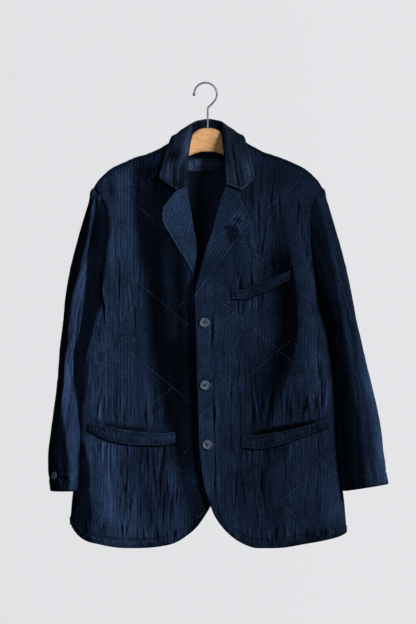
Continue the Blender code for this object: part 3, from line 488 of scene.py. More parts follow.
def body_level(points, depth_column):
    """A function that is 0 on the body's form and grows outwards."""
    x, y, z = points[..., 0], points[..., 1], points[..., 2]
    across = 1 - np.abs((x - CENTRE) / smooth(BODY, "z", "half", z)) ** ROUND
    up = 1 - closing(x, z) ** ROUND
    return np.abs(y / smooth(BODY, "z", depth_column, z)) ** ROUND - across * up


def body_slope(points, depth_column):
    """How fast the level function grows along each axis."""
    slope = np.zeros_like(points)
    for axis in range(3):
        move = np.zeros(3)
        move[axis] = 0.5
        slope[..., axis] = body_level(points + move, depth_column) - body_level(points - move, depth_column)
    return slope


def body_normal(points, depth_column):
    """Outward directions on the body's form."""
    slope = body_slope(points, depth_column)
    return slope / np.linalg.norm(slope, axis=-1, keepdims=True)


def body_height(points, depth_column):
    """About how far points are outside the body's form."""
    slope = np.linalg.norm(body_slope(points, depth_column), axis=-1)
    return body_level(points, depth_column) / slope


def keep_off(points, distance):
    """Moves points out along the body's normals until they clear its outer face by a distance."""
    moved = points.copy()
    for column, ahead in (("front", -1), ("back", 1)):
        chosen = moved[..., 1] * ahead >= 0
        for _ in range(4):
            some = moved[chosen]
            normal, height = body_normal(some, column), body_height(some, column)
            moved[chosen] = some + normal * np.maximum(0, distance - height)[..., None]
    return moved


def from_line(x, z, line):
    """How far a place is from a short straight line."""
    run, drop = line.x1 - line.x0, line.z1 - line.z0
    along = np.clip(((x - line.x0) * run + (z - line.z0) * drop) / (run ** 2 + drop ** 2), 0, 1)
    return np.hypot(x - line.x0 - along * run, z - line.z0 - along * drop)


def fold_height(x, z, folds):
    """Height of all soft folds at a point of the body."""
    total = np.zeros(np.broadcast(x, z).shape)
    for fold in folds:
        total = total + fold.height * np.exp(-((from_line(x, z, fold) / fold.width) ** 2))
    return total


def front_y(x, z):
    """The fronts' smooth outer face."""
    full = fullness(x, z)
    y = -SEAM_GAP / 2 - smooth(BODY, "z", "front", z) * full ** (1 / ROUND)
    return y - fold_height(x, z, FRONT_FOLDS) * np.minimum(1, 3 * full)


def back_y(x, z):
    """The back's outer face."""
    full = fullness(x, z)
    y = SEAM_GAP / 2 + smooth(BODY, "z", "back", z) * full ** (1 / ROUND)
    return y + fold_height(x, z, BACK_FOLDS) * np.minimum(1, 3 * full)


def side_half(z):
    """Half width at a panel's outer edge: the side seam, then the armhole above it."""
    if z <= UNDERARM:
        return float(smooth(BODY, "z", "half", z))
    return float(smooth(ARMHOLE, "z", "x", z))


def meeting(row_z, edge_x):
    """x on an edge where a row that runs at row_z(x) meets it."""
    low, high = BELOW_HEM, ABOVE_RIDGE
    for _ in range(44):
        middle = (low + high) / 2
        if row_z(edge_x(middle)) > middle:
            low = middle
        else:
            high = middle
    return edge_x(low)


# ---- noise and small profiles ----

def noise(u, v, seed):
    """Smooth noise between -1 and 1 over two coordinates, the same on every run."""
    lattice = np.random.default_rng(seed).uniform(-1, 1, (NOISE_CELLS, NOISE_CELLS))
    u, v = np.broadcast_arrays(np.asarray(u, float), np.asarray(v, float))
    i, j = np.floor(u).astype(int), np.floor(v).astype(int)
    s, t = u - i, v - j
    s, t = s * s * (3 - 2 * s), t * t * (3 - 2 * t)
    i, j = i % NOISE_CELLS, j % NOISE_CELLS
    next_i, next_j = (i + 1) % NOISE_CELLS, (j + 1) % NOISE_CELLS
    low = lattice[i, j] * (1 - s) + lattice[next_i, j] * s
    high = lattice[i, next_j] * (1 - s) + lattice[next_i, next_j] * s
    return low * (1 - t) + high * t


def bell(away, width):
    """1 in the middle of something and falling away smoothly on both sides."""
    return np.exp(-(away / width) ** 2)


def crease_height(x, z, creases):
    """Height of the listed creases, each fading out at its ends and varying along its length."""
    total = np.zeros(np.broadcast(x, z).shape)
    for number, crease in enumerate(creases):
        run, drop = crease.x1 - crease.x0, crease.z1 - crease.z0
        length = math.hypot(run, drop)
        along = ((x - crease.x0) * run + (z - crease.z0) * drop) / length ** 2
        away = ((x - crease.x0) * drop - (z - crease.z0) * run) / length
        inside = np.clip(along, 0, 1)
        bowed = away - crease.bow * 4 * inside * (1 - inside)
        varied = 1 + 0.3 * noise(along * length / 55, 0.5 + number, 11)
        fade = np.sin(math.pi * inside) ** 0.6
        total = total + crease.height * fade * varied * bell(bowed, crease.width * (0.75 + 0.35 * inside))
    return total


def puckers(x, z, bands, seed):
    """Height of short sharp creases, each with a fuller side."""
    rng = np.random.default_rng(seed)
    total = np.zeros(np.broadcast(x, z).shape)
    for band in bands:
        for _ in range(band.count):
            at, away, lean, side, size, wide = rng.uniform(-1, 1, 6)
            middle_x = (band.x0 + band.x1) / 2 + at * (band.x1 - band.x0) / 2
            middle_z = (band.z0 + band.z1) / 2 + at * (band.z1 - band.z0) / 2 + away * band.spread / 2
            drop = z - middle_z
            off = x - middle_x - 0.16 * lean * drop
            width = 2.0 + 0.6 * wide
            fuller = 0.6 * bell(off - math.copysign(2.3 * width, side), 1.7 * width)
            depth = band.depth * (1 + 0.45 * size)
            total = total + depth * (fuller - bell(off, width)) * bell(drop, band.length * (0.5 + 0.2 * size))
    return total


def crinkle(x, z, seed):
    """Fine upright crinkles of quilted cloth, livelier in some places than in others."""
    lively = 0.75 + 0.6 * noise(x / 55, z / 70, seed)
    long = 0.45 * noise(x / 6.5, z / 24, seed + 1)
    short = 0.45 * noise(x / 5.0, z / 11, seed + 2)
    return lively * (long + short + 0.35 * noise(x / 3.6, z / 6.0, seed + 3))


def rib_height(q, along, seed):
    """Height of the quilted ribs, 0 in the stitched lines and up to 1 between them.

    q counts ribs across the cloth, and along is the way down a rib in millimetres.
    """
    part = q - np.floor(q)
    round_top = 1 - np.abs(2 * part - 1) ** 2.3
    rib = np.floor(q)
    uneven = 0.62 + 0.42 * noise(q * 0.6, along / 24, seed)
    patchy = 0.62 + 0.62 * noise(q / 8, along / 80, seed + 1)
    stitched = 1 - 0.34 * (0.5 + 0.5 * np.cos(2 * math.pi * (along / 9.0 + rib * 0.37)))
    return round_top * uneven * np.clip(patchy, 0.08, 1.3) * stitched


def dashes(q, along, seed):
    """1 on the small dark stitches in the lines between ribs, 0 elsewhere."""
    line = np.round(q)
    thin = bell(q - line, 0.17)
    beat = ramp(np.cos(2 * math.pi * (along / 8.0 + line * 0.37)), -0.4, 0.7)
    shown = ramp(noise(q / 3.0, along / 40, seed), -0.45, 0.5)
    return thin * beat * shown


# ---- building sheets ----

def link(name, data):
    """A new object in the scene."""
    made = bpy.data.objects.new(name, data)
    bpy.context.scene.collection.objects.link(made)
    return made


def stand_for(piece, node):
    """Lets a piece ride on the garment and stand for its solid."""
    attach(piece, "root")
    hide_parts(node)


def keep_tone(mesh, tone):
    """Writes how light each point's material is, as the attribute that the materials read."""
    # the tone holds wear and also painted light and shade
    mesh.attributes.new("fade", "FLOAT", "POINT").data.foreach_set("value", tone.astype(np.float32))


def make_sheet(name, points, grain, fade, thick, slots, first=None, last=None):
    """A sheet of cloth from rows of points, thickened inwards.

    first and last give each row's outermost used columns. grain holds a point's place on the
    flat cloth, and fade how much lighter or darker the cloth is made there: wear, and painted light and
    shade.
    """
    rows, columns = points.shape[:2]
    index = np.arange(rows * columns).reshape(rows, columns)
    if first is not None:
        used = np.clip(np.arange(columns)[None], first[:, None], last[:, None])
        index = np.take_along_axis(index, used, 1)
    corners = [index[:-1, :-1], index[:-1, 1:], index[1:, 1:], index[1:, :-1]]
    corners = np.stack(corners, -1).reshape(-1, 4)
    a, b, c, d = corners.T
    whole = corners[(a != b) & (c != d)]
    low_fans = corners[(a == b) & (c != d)][:, [0, 2, 3]]
    high_fans = corners[(a != b) & (c == d)][:, [0, 1, 2]]
    ordered = np.concatenate([part.ravel() for part in (whole, low_fans, high_fans)])
    kept, compact = np.unique(ordered, return_inverse=True)
    whole, fans = compact[:whole.size].reshape(-1, 4), compact[whole.size:].reshape(-1, 3)
    mesh = bpy.data.meshes.new(name)
    mesh.from_pydata((points.reshape(-1, 3)[kept] * MM).tolist(), [], whole.tolist() + fans.tolist())
    corner_points = np.empty(len(mesh.loops), int)
    mesh.loops.foreach_get("vertex_index", corner_points)
    flat = grain.reshape(-1, 2)[kept] * MM
    flat_corners = flat[corner_points].astype(np.float32)
    mesh.uv_layers.new(name="grain").data.foreach_set("uv", flat_corners.ravel())
    keep_tone(mesh, fade.reshape(-1)[kept])
    mesh.shade_smooth()
    made = link(name, mesh)
    for slot_material in slots:
        mesh.materials.append(slot_material)
    wall = made.modifiers.new("thickness", "SOLIDIFY")
    wall.thickness = thick * MM
    wall.offset = -1
    wall.use_even_offset = False
    if len(slots) > 1:
        wall.material_offset = 1
    return made


def distance_along(points):
    """Distance from the first row of points to each of the others, down each column."""
    steps = np.linalg.norm(np.diff(points, axis=0), axis=-1)
    return np.concatenate([np.zeros_like(steps[:1]), np.cumsum(steps, axis=0)])


def widest(points):
    """Length of the longest row of points."""
    return float(np.linalg.norm(np.diff(points, axis=1), axis=-1).sum(axis=1).max())


def cut_area(points):
    """Area in square metres of a smooth grid of points, which is the flat cloth it was cut from."""
    across, down = np.diff(points, axis=1)[:-1], np.diff(points, axis=0)[:, :-1]
    return float(np.linalg.norm(np.cross(across, down), axis=-1).sum()) * MM ** 2


def declare(piece, node, size, area):
    """Lets a piece of cloth stand for its solid; the size and area that it was cut to are worked out but not
    kept.
    """
    stand_for(piece, node)
    width, length = size[0] * MM, size[1] * MM
    area = min(area, width * length)


# ---- body panels ----

def panel_rows(hem, top, coarse=1.0):
    """Heights of a panel's rows as functions of x: rising from the hem, level, then to the top."""
    def from_hem(part):
        return lambda x: smooth(hem, "x", "z", x) * (1 - part) + HEM_TOP * part

    def to_top(part):
        return lambda x: CHEST + part * (top(x) - CHEST)

    step = ROW_STEP * coarse
    parts = [above / HEM_TALL for above in HEM_STEPS]
    parts += list(np.linspace(parts[-1], 1, int((HEM_TALL - HEM_STEPS[-1]) / step))[1:])
    rows = [from_hem(part) for part in parts]
    levels = np.linspace(HEM_TOP, CHEST, int((CHEST - HEM_TOP) / step))[1:-1]
    rows += [lambda x, z=z: np.full_like(np.asarray(x, float), z) for z in levels]
    turns = np.linspace(0, math.pi / 2, CLOSING_STEPS)
    return rows + [to_top(math.sin(turn) ** (2 / ROUND)) for turn in turns]


def ridge_z(x):
    """Height of the shoulder ridge."""
    return smooth(RIDGE, "x", "z", np.abs(x - CENTRE))


def back_top(x):
    """Height of the back's top: the neck seam, then the shoulder ridge."""
    away = np.abs(x - CENTRE)
    return np.where(away < NECK_HALF, smooth(BACK_NECK, "x", "z", away), ridge_z(x))


def crumple(x, z, creases, full):
    """Creases, fading towards the side seams and the shoulder ridge."""
    return crease_height(x, z, creases) * np.minimum(1, 2.5 * full)


def left_y(x, z):
    """The over front's smooth face."""
    return front_y(x, z) - crumple(x, z, FRONT_CREASES, fullness(x, z))


def right_y(x, z):
    """The under front's smooth face, which falls back behind the over front."""
    start = smooth(HOLLOW, "z", "x", z) - 8
    return left_y(x, z) + smooth(HOLLOW, "z", "depth", z) * ramp(x, start, HOLLOW_RUN)


def rear_y(x, z):
    """The back's smooth face."""
    return back_y(x, z) + crumple(x, z, BACK_CREASES, fullness(x, z))


def face_of(side):
    """The smooth face of a front: side is 1 for the over front and -1 for the under front."""
    return left_y if side > 0 else right_y


class Panel:
    """Rows of points of a body panel whose columns run along its ribs."""

    def __init__(self, rows, low_x, high_x, y_of, form_y, pitch, seed, columns):
        spread = (1 - np.cos(np.linspace(0, math.pi, 281))) / 2
        self.lines = []
        for row_z in rows:
            low, high = low_x(row_z), high_x(row_z)
            x = np.interp(spread, [0, 1], [min(low, CENTRE), max(high, CENTRE)])
            y = form_y(x, row_z(x))
            arc = np.concatenate([[0], np.cumsum(np.hypot(np.diff(x), np.diff(y)))])
            arc -= np.interp(CENTRE, x, arc)
            self.lines.append((row_z, low, high, x, arc))
        start = min(np.interp(low, x, arc) for _, low, _, x, arc in self.lines)
        end = max(np.interp(high, x, arc) for _, _, high, x, arc in self.lines)
        step = pitch / columns
        counts = np.arange(math.floor(start / step), math.ceil(end / step) + 1)
        place, points, firsts, lasts = [], [], [], []
        for number, (row_z, low, high, x, arc) in enumerate(self.lines):
            wander = 0.8 * noise(counts / columns / 3.0, number / 16.0, seed + 5)
            ends = np.interp([low, high], x, arc)
            across = counts * step + wander
            first = np.clip(np.searchsorted(across, ends[0] + 0.4) - 1, 0, len(counts) - 1)
            last = np.clip(np.searchsorted(across, ends[1] - 0.4), 0, len(counts) - 1)
            firsts.append(first)
            lasts.append(last)
            at = np.clip(np.interp(across, arc, x), low, high)
            at[:first + 1] = low
            at[last:] = high
            z = row_z(at)
            points.append(np.stack([at, y_of(at, z), z], -1))
            place.append(np.stack([counts * step, z], -1))
        self.points, self.place = np.array(points), np.array(place)
        self.first, self.last = np.array(firsts), np.array(lasts)
        self.ribs = np.broadcast_to(counts / columns, self.points.shape[:2])


def hem_relief(points, hem, seed):
    """The turned-up hem: a raised band that puckers under a line of stitches."""
    x, z = points[..., 0], points[..., 2]
    above = z - smooth(hem, "x", "z", x)
    band = 1.0 * (1 - ramp(above, TURN_UP - 2.5, 3.0))
    groove = -0.9 * bell(above - TURN_UP, 1.8)
    pucker = 1.5 * noise((x + 0.5 * above) / 6.0, above / 30, seed) * bell(above - TURN_UP * 0.7, 13.0)
    rolled = -1.2 * np.clip(1 - above / 3.0, 0, 1) ** 2
    return band + groove + pucker + rolled


def edge_relief(points, edge, side):
    """The folded front edge below its lapel: a raised band with a line of stitches inside it."""
    x, z = points[..., 0], points[..., 2]
    inside = side * (x - smooth(edge, "z", "x", z))
    band = 0.5 * (1 - ramp(inside, 6.0, 2.0)) - 0.5 * bell(inside - EDGE_STITCHES, 1.5)
    return (z < LAPEL_BREAK) * (band - 0.9 * bell(inside, 1.6))


def build_panel(name, panel, column, relief, fade, rib, seed, thick, bands=()):
    """A body panel's visible cloth, its ribs and relief laid out along the body's normals."""
    points, grain, first, last = panel.points, panel.place, panel.first, panel.last
    x, z = points[..., 0], points[..., 2]
    ribs = rib * rib_height(panel.ribs, -z, seed)
    small = crinkle(x, z, seed + 7) + puckers(x, z, bands, seed + 9)
    index = np.arange(x.shape[1])
    from_low, from_high = index - first[:, None], last[:, None] - index
    if column == "back":
        from_seam = np.minimum(from_low, from_high)
    else:
        from_seam = from_high if x.mean() > CENTRE else from_low
    calm = ramp(from_seam, 0, CALM_COLUMNS)
    lifted = points + body_normal(points, column) * (calm * (ribs + relief + small))[..., None]
    # the tone follows the relief: painted shade in the valleys between ribs and creases, lighter on their
    # tops, partly wear too
    shade = fade * np.clip(1 + 0.62 * (ribs - 0.45) + 0.33 * small, 0.2, 2.0)
    if column == "back":
        lifted, grain, shade = lifted[:, ::-1], grain[:, ::-1], shade[:, ::-1]
        wide = points.shape[1] - 1
        first, last = wide - last, wide - first
    return make_sheet(name, lifted, grain, shade, thick, cloth_slots(), first, last)


# ---- sleeves ----

def section_point(side, sections, z, turn):
    """A point of a sleeve's section at a height, turned from the outside through the front."""
    half, deep = smooth(sections, "z", "half", z), smooth(sections, "z", "deep", z)
    across = half * np.sign(np.cos(turn)) * np.abs(np.cos(turn)) ** (2 / SLEEVE_ROUND)
    forward = deep * np.sign(np.sin(turn)) * np.abs(np.sin(turn)) ** (2 / SLEEVE_ROUND)
    angle = np.radians(smooth(sections, "z", "turn", z))
    out = across * np.cos(angle) + forward * np.sin(angle)
    ahead = forward * np.cos(angle) - across * np.sin(angle)
    x = CENTRE + side * (smooth(sections, "z", "x", z) + out)
    y = smooth(sections, "z", "y", z) - ahead
    return np.stack([x, y, z + smooth(sections, "z", "rise", z) * out], axis=-1)


def armhole_point(side, turn):
    """A point of the armhole's seam on the body, by its turn round the sleeve head."""
    z = ARMHOLE_MIDDLE + ARMHOLE_REACH * np.cos(turn)
    x = CENTRE + side * smooth(ARMHOLE, "z", "x", z)
    y = np.where(np.sin(turn) >= 0, face_of(side)(x, z), rear_y(x, z))
    return np.stack([x + side * ARMHOLE_GAP, y, z], axis=-1)


def even_turns(side, sections, count):
    """Turns that space points evenly round the middle of a sleeve."""
    turns = np.linspace(-math.pi, math.pi, 721)
    arc = distance_along(section_point(side, sections, np.full_like(turns, ELBOW), turns))
    return np.interp(np.linspace(0, arc[-1], count), arc, turns)


def sleeve_points(side, sections, turns):
    """Rows of points of a sleeve's smooth face, from the armhole down to the cuff."""
    first, cuff = sections[-1].z, sections[0].z
    head = armhole_point(side, turns)
    start = section_point(side, sections, np.full_like(turns, first), turns)
    below = section_point(side, sections, np.full_like(turns, first - 1), turns)
    reach = np.linalg.norm(start - head, axis=-1, keepdims=True)
    inward = [np.full_like(turns, -3.0 * side), 2.4 * np.sin(turns), -2.4 * np.cos(turns)]
    rows = [head + np.stack(inward, -1)]
    for t in np.linspace(0, 1, HEAD_STEPS, endpoint=False):
        eased = head + (start - head) * t
        eased = eased + t ** 2 * (t - 1) * (reach * (below - start) - (start - head))
        seam_roll = 2.2 * math.exp(-((t - 0.03) / 0.03) ** 2) * (t > 0)
        puff = HEAD_PUFF * math.sin(math.pi * t) + seam_roll
        eased[:, 0] += side * puff * np.clip(np.cos(turns), 0, 1)
        eased[:, 1] -= puff * np.sin(turns)
        rows.append(eased)
    forearm = np.linspace(first, cuff + CUFF_FINE, FOREARM_STEPS)
    fine = np.linspace(cuff + CUFF_FINE, cuff, CUFF_STEPS)[1:]
    for z in np.concatenate([forearm, fine]):
        rows.append(section_point(side, sections, np.full_like(turns, z), turns))
    return np.array(rows)


def grid_normals(grid, closed_columns=False):
    """Unit normals of a grid of points."""
    if closed_columns:
        across = np.roll(grid, -1, axis=1) - np.roll(grid, 1, axis=1)
    else:
        across = np.gradient(grid, axis=1)
    normals = np.cross(np.gradient(grid, axis=0), across)
    return normals / np.maximum(np.linalg.norm(normals, axis=-1, keepdims=True), 1e-9)


def wrinkle_height(turn, z, wrinkles):
    """Height of a sleeve's creases, their widths in degrees of turn."""
    total = np.zeros(np.broadcast(turn, z).shape)
    for number, wrinkle in enumerate(wrinkles):
        drop, sweep = wrinkle.z1 - wrinkle.z0, wrinkle.turn1 - wrinkle.turn0
        length = math.hypot(drop, 2 * sweep)
        along = ((z - wrinkle.z0) * drop + 4 * (turn - wrinkle.turn0) * sweep) / length ** 2
        away = ((turn - wrinkle.turn0) * 2 * drop - (z - wrinkle.z0) * 2 * sweep) / length
        inside = np.clip(along, 0, 1)
        varied = 1 + 0.3 * noise(along * length / 60, 0.5 + number, 17)
        fade = np.sin(math.pi * inside) ** 0.6
        total = total + wrinkle.height * fade * varied * bell(away, 2 * wrinkle.width)
    return total


def cuff_seat(word):
    """Where a cuff button is sewn on the sleeve's smooth face, and the way that it faces."""
    side, sections = SLEEVES[word][:2]
    y, z = CUFF_BUTTONS[word]
    turns = np.linspace(-1.4, 1.4, 400)
    ring = section_point(side, sections, np.full_like(turns, z), turns)
    nearest = int(np.argmin(np.abs(ring[:, 1] - y)))
    normal = np.cross(ring[nearest + 1] - ring[nearest - 1], (0, 0, 1))
    normal *= side * np.sign(normal[0]) / np.linalg.norm(normal)
    return ring[nearest], normal


def cuff_relief(counts, left_over, seed):
    """The turned-up cuff: a raised band that puckers under a line of stitches."""
    band = 0.9 * (1 - ramp(left_over, CUFF_TURN_UP - 3, 3.5)) - 0.9 * bell(left_over - CUFF_TURN_UP, 2.0)
    pucker = 0.8 * noise(counts * 0.8, left_over / 24, seed + 3) * bell(left_over - CUFF_TURN_UP, 16)
    return band + pucker - 1.2 * np.clip(1 - left_over / 3, 0, 1) ** 2


def sleeve_tone(side, seed, counts, lengths, left_over, angle, from_button):
    """Tone of a sleeve: dark at the cuff's fold, painted light and shade on the streaks drawn in to the cuff
    button, and lighter blotches.
    """
    wavy = 7 * angle + 2 * noise(counts * 0.4, lengths / 30, seed + 11)
    drawn = np.cos(wavy) * bell(from_button - 22, 14)
    blotches = np.maximum(0, noise(counts * 0.55, lengths / 9, seed + 12))
    tone = (1 - 0.5 * bell(left_over, 5)) * (1 + 0.6 * drawn)
    return tone, blotches * bell(left_over - 34, 42) * (side < 0)


def build_sleeve(cloth, stitch, word):
    """A two-piece sleeve: the upper sleeve outside and the under sleeve within."""
    side, sections, wrinkles, fade, seed = SLEEVES[word]
    seam = math.acos((SEAM_HEAD - ARMHOLE_MIDDLE) / ARMHOLE_REACH)
    turns = even_turns(side, sections, SLEEVE_RIBS * RIB_COLUMNS + 1)
    nearest = np.argmin(np.abs(turns - seam))
    opposite = len(turns) - 1 - nearest
    turns = turns[:-1]
    grid = sleeve_points(side, sections, turns)
    normals = -side * grid_normals(grid, closed_columns=True)
    z = grid[..., 2]
    lengths = distance_along(grid)
    left_over = lengths[-1:] - lengths
    counts = np.arange(len(turns)) / RIB_COLUMNS
    degrees = np.degrees(turns)[None]
    ribs = 0.6 * cloth.rib_height / MM * rib_height(np.broadcast_to(counts, z.shape), lengths, seed)
    ribs = ribs * np.clip(lengths / 8, 0.2, 1)
    eased = 1.3 * noise(counts * 0.75, lengths / 60, seed + 4) * bell(lengths - 6, 20)
    fine = puckers(SLEEVE_MM_PER_DEGREE * degrees, z, SLEEVE_PUCKERS, seed + 9)
    small = crinkle(counts * SLEEVE_RIB, lengths, seed + 7) + fine
    relief = wrinkle_height(degrees, z, wrinkles) * np.clip(lengths / 40, 0, 1)
    relief = relief + cuff_relief(counts, left_over, seed) + eased + small
    for line in (nearest, opposite):
        away = np.abs(np.arange(len(counts)) - line) * SLEEVE_RIB / RIB_COLUMNS
        relief = relief - 0.8 * bell(away, 1.8)[None]
    sewn_at, _ = cuff_seat(word)
    from_button = np.linalg.norm(grid - sewn_at, axis=-1)
    angle = np.arctan2(z - sewn_at[2], grid[..., 0] - sewn_at[0])
    flat = bell(from_button, 15)
    rays = 1.0 * np.cos(7 * angle) * bell(from_button - 18, 8)
    relief = relief * (1 - flat) + rays - CUFF_DENT * bell(from_button, 13)
    ribs = ribs * (1 - flat)
    lifted = grid + normals * (ribs + relief)[..., None]
    place = np.stack([np.broadcast_to(counts * SLEEVE_RIB, z.shape), -lengths], -1)
    # the tone follows the relief: painted shade in the valleys between ribs and creases, lighter on their
    # tops, partly wear too
    shade = fade(grid, turns[None]) * np.clip(1 + 0.5 * (ribs - 0.3) + 0.28 * small, 0.3, 1.8)
    tone, blotches = sleeve_tone(side, seed, counts, lengths, left_over, angle, from_button)
    shade = shade * tone * (1 + 1.6 * blotches * (shade < 0.5))
    ring = along_edge(lifted, normals, left_over, CUFF_TURN_UP)
    add_topstitching(stitch, f"cuff_{word}_topstitch", [ring], 340 + side)
    halves = {"upper": (opposite, nearest + 1), "under": (nearest, opposite + len(counts) + 1)}
    for half, (start, stop) in halves.items():
        order = (np.arange(start, stop) % len(counts))[::side]
        node = f"sleeve_{word}_{half}"
        part = [values[:, order] for values in (lifted, place, shade)]
        piece = make_sheet(f"{node}_cloth", *part, cloth.thickness / MM, cloth_slots())
        size = (widest(grid[:, order]), float(lengths[-1, order].max()))
        declare(piece, node, size, cut_area(grid[:, order]))


# ---- collar, lapels and pockets ----

def collar_stations():
    """The collar's fold line and outer edge, from the left gorge round to the right one."""
    fold, edge = [], []
    for row in COLLAR:
        fold.append((CENTRE + row.left, row.y, row.z))
        edge.append((CENTRE + row.edge_left, row.edge_y, row.edge_z))
    for row in reversed(COLLAR[:-1]):
        fold.append((CENTRE - row.right, row.y, row.z))
        edge.append((CENTRE - row.edge_right, row.edge_y, row.edge_z))
    return np.array(fold, float), np.array(edge, float)


def refine(points, parts):
    """More points on a smooth curve through the given ones."""
    ends = np.concatenate([2 * points[:1] - points[1:2], points, 2 * points[-1:] - points[-2:-1]])
    fine = []
    for i in range(1, len(ends) - 2):
        before, start, end, after = ends[i - 1:i + 3]
        for t in np.linspace(0, 1, parts, endpoint=False):
            fine.append(
                0.5 * (2 * start + (end - before) * t
                       + (2 * before - 5 * start + 4 * end - after) * t ** 2
                       + (3 * start - before - 3 * end + after) * t ** 3)
            )
    fine.append(points[-1])
    return np.array(fine)


def edge_tone(away, band):
    """A stitched edge's tone: pale at the fold, partly wear and partly a painted highlight, with painted
    shade along the stitches.
    """
    return 1 + 0.8 * bell(away - 1.6, 1.6) - 0.45 * bell(away - band, 1.4)


def rim_relief(away, band):
    """A stitched edge: the edge rolled down, a full band inside it and a line of stitches."""
    return -1.3 * bell(away, 1.3) + 0.5 * bell(away - band / 2, band / 2.2) - 0.7 * bell(away - band, 1.3)


def collar_grid():
    """The collar's smooth outer face, from its fold line down to its edge."""
    fold, corners = collar_stations()
    fold, parts = refine(fold, COLLAR_PARTS), np.linspace(0, 1, COLLAR_PARTS, endpoint=False)[:, None]
    first = corners[0] + (corners[1] - corners[0]) * parts
    last = corners[-2] + (corners[-1] - corners[-2]) * parts
    edge = np.concatenate([first, refine(corners[1:-1], COLLAR_PARTS)[:-1], last, corners[-1:]])
    out = np.cross(edge - fold, np.gradient(fold + edge, axis=0))
    out /= np.linalg.norm(out, axis=-1, keepdims=True)
    rows = []
    for v in np.linspace(0, 1, 38):
        rows.append(fold + (edge - fold) * v + out * COLLAR_BULGE * math.sin(math.pi * v) ** 0.8)
    grid = np.array(rows)
    grid[1:] = keep_off(grid[1:], COLLAR_CLEAR)
    return grid


def lapel_edge(table, steps):
    """x and z of a lapel's outer edge: a curve up to its corner, then straight to the gorge."""
    found = []
    for key in ("edge_x", "edge_z"):
        curve = smooth(table[:-1], "step", key, steps)
        ends = [getattr(row, key) for row in table[-2:]]
        straight = np.interp(steps, [table[-2].step, 1.0], ends)
        found.append(np.where(steps > table[-2].step, straight, curve))
    return found


def lapel_points(table, steps, across):
    """x, z and lift of a lapel's points from the roll line out to its edge, and its width."""
    roll_x, roll_z = smooth(table, "step", "roll_x", steps), smooth(table, "step", "roll_z", steps)
    edge_x, edge_z = lapel_edge(table, steps)
    x = roll_x[:, None] + (edge_x - roll_x)[:, None] * across
    z = roll_z[:, None] + (edge_z - roll_z)[:, None] * across
    lift = LAPEL_LIFT + LAPEL_ROLL * np.sin(math.pi * steps)[:, None] * (1 - across) ** 2
    return x, z, lift, np.hypot(edge_x - roll_x, edge_z - roll_z)


def laid_grid(x, z, y_of, lift):
    """Points above a front, moved out along the body's normals."""
    points = np.stack([x, y_of(x, z), z], -1)
    return points + body_normal(points, "front") * lift[..., None]


# ---- the groups of pieces ----

FRONTS = {"left": (1, LEFT_EDGE, LEFT_HEM), "right": (-1, RIGHT_EDGE, RIGHT_HEM)}


def pocket_relief(points, table, seed):
    """The cloth drawn together above and below a pocket, with a dark gap at its mouth."""
    x, z = points[..., 0], points[..., 2]
    inside = ramp(x, table[0].x - 6, 10) * (1 - ramp(x, table[-1].x - 4, 10))
    above = z - smooth(table, "x", "top", x)
    below = smooth(table, "x", "bottom", x) - z
    gap = -3.2 * bell(above - 2.0, 3.4) - 1.6 * bell(below - 1.0, 2.6)
    drawn = 1.6 * noise(x / 9.0, above / 42, seed) * bell(above - 10, 15) * (above > 0)
    drawn = drawn + 1.3 * noise(x / 8.0, below / 40, seed + 1) * bell(below - 7, 12) * (below > 0)
    return inside * (gap + drawn)


def hole_relief(points):
    """Short puckers that run out from each buttonhole."""
    x, z = points[..., 0], points[..., 2]
    total = np.zeros(x.shape)
    for number, (hole_x, hole_z) in enumerate(BUTTONHOLES):
        away = np.hypot(x - hole_x, z - hole_z)
        turn = np.arctan2(z - hole_z, x - hole_x)
        total = total + 1.1 * np.cos(7 * turn + number) * bell(away - 15, 9) * ramp(x, hole_x - 6, 10)
    return total


def seam_relief(points):
    """The over front's facing seam and dart: a sewn groove and the cloth drawn up beside it."""
    x, z = points[..., 0], points[..., 2]
    total = np.zeros(x.shape)
    for number, seam in enumerate(FRONT_SEAMS):
        away = from_line(x, z, seam)
        drawn = 0.5 + 0.8 * noise(z / 7, number + 0.5, 181)
        total = total - 1.3 * bell(away, 1.6) + drawn * bell(away - 4.5, 3.0)
    return total


def seam_and_button_shade(x, z):
    """Painted shade in the seams and in the buttonholes, and a painted shadow round each button."""
    tone = np.ones(x.shape)
    for seam in FRONT_SEAMS:
        tone = tone * (1 - 0.5 * bell(from_line(x, z, seam), 1.9))
    for (hole_x, hole_z), (button_x, button_z) in zip(BUTTONHOLES, FRONT_BUTTONS):
        away = np.hypot(x - button_x + 2.2, z - button_z - 0.8)
        tone = tone * (1 - 0.7 * (1 - ramp(away, 8.5, 5.0)))
        tone = tone * (1 - 0.75 * bell(np.hypot(x - hole_x, z - hole_z), 1.8))
    return tone


def welt_tone(x, z, table):
    """The shaded line that a welt leaves on the cloth round it."""
    above, below = z - smooth(table, "x", "top", x), smooth(table, "x", "bottom", x) - z
    beyond = np.maximum(table[0].x - x, x - table[-1].x)
    away = np.maximum(np.maximum(above, below), beyond)
    return 1 - 0.62 * bell(away - 1.4, 2.0)


def wear_light_and_shade(x, z, places):
    """How much lighter or darker soft places make the cloth: patches of wear, and painted light and shade."""
    total = np.ones(np.broadcast(x, z).shape)
    for place in places:
        total = total * (1 + place.gain * bell(x - place.x, place.half_x) * bell(z - place.z, place.half_z))
    return total


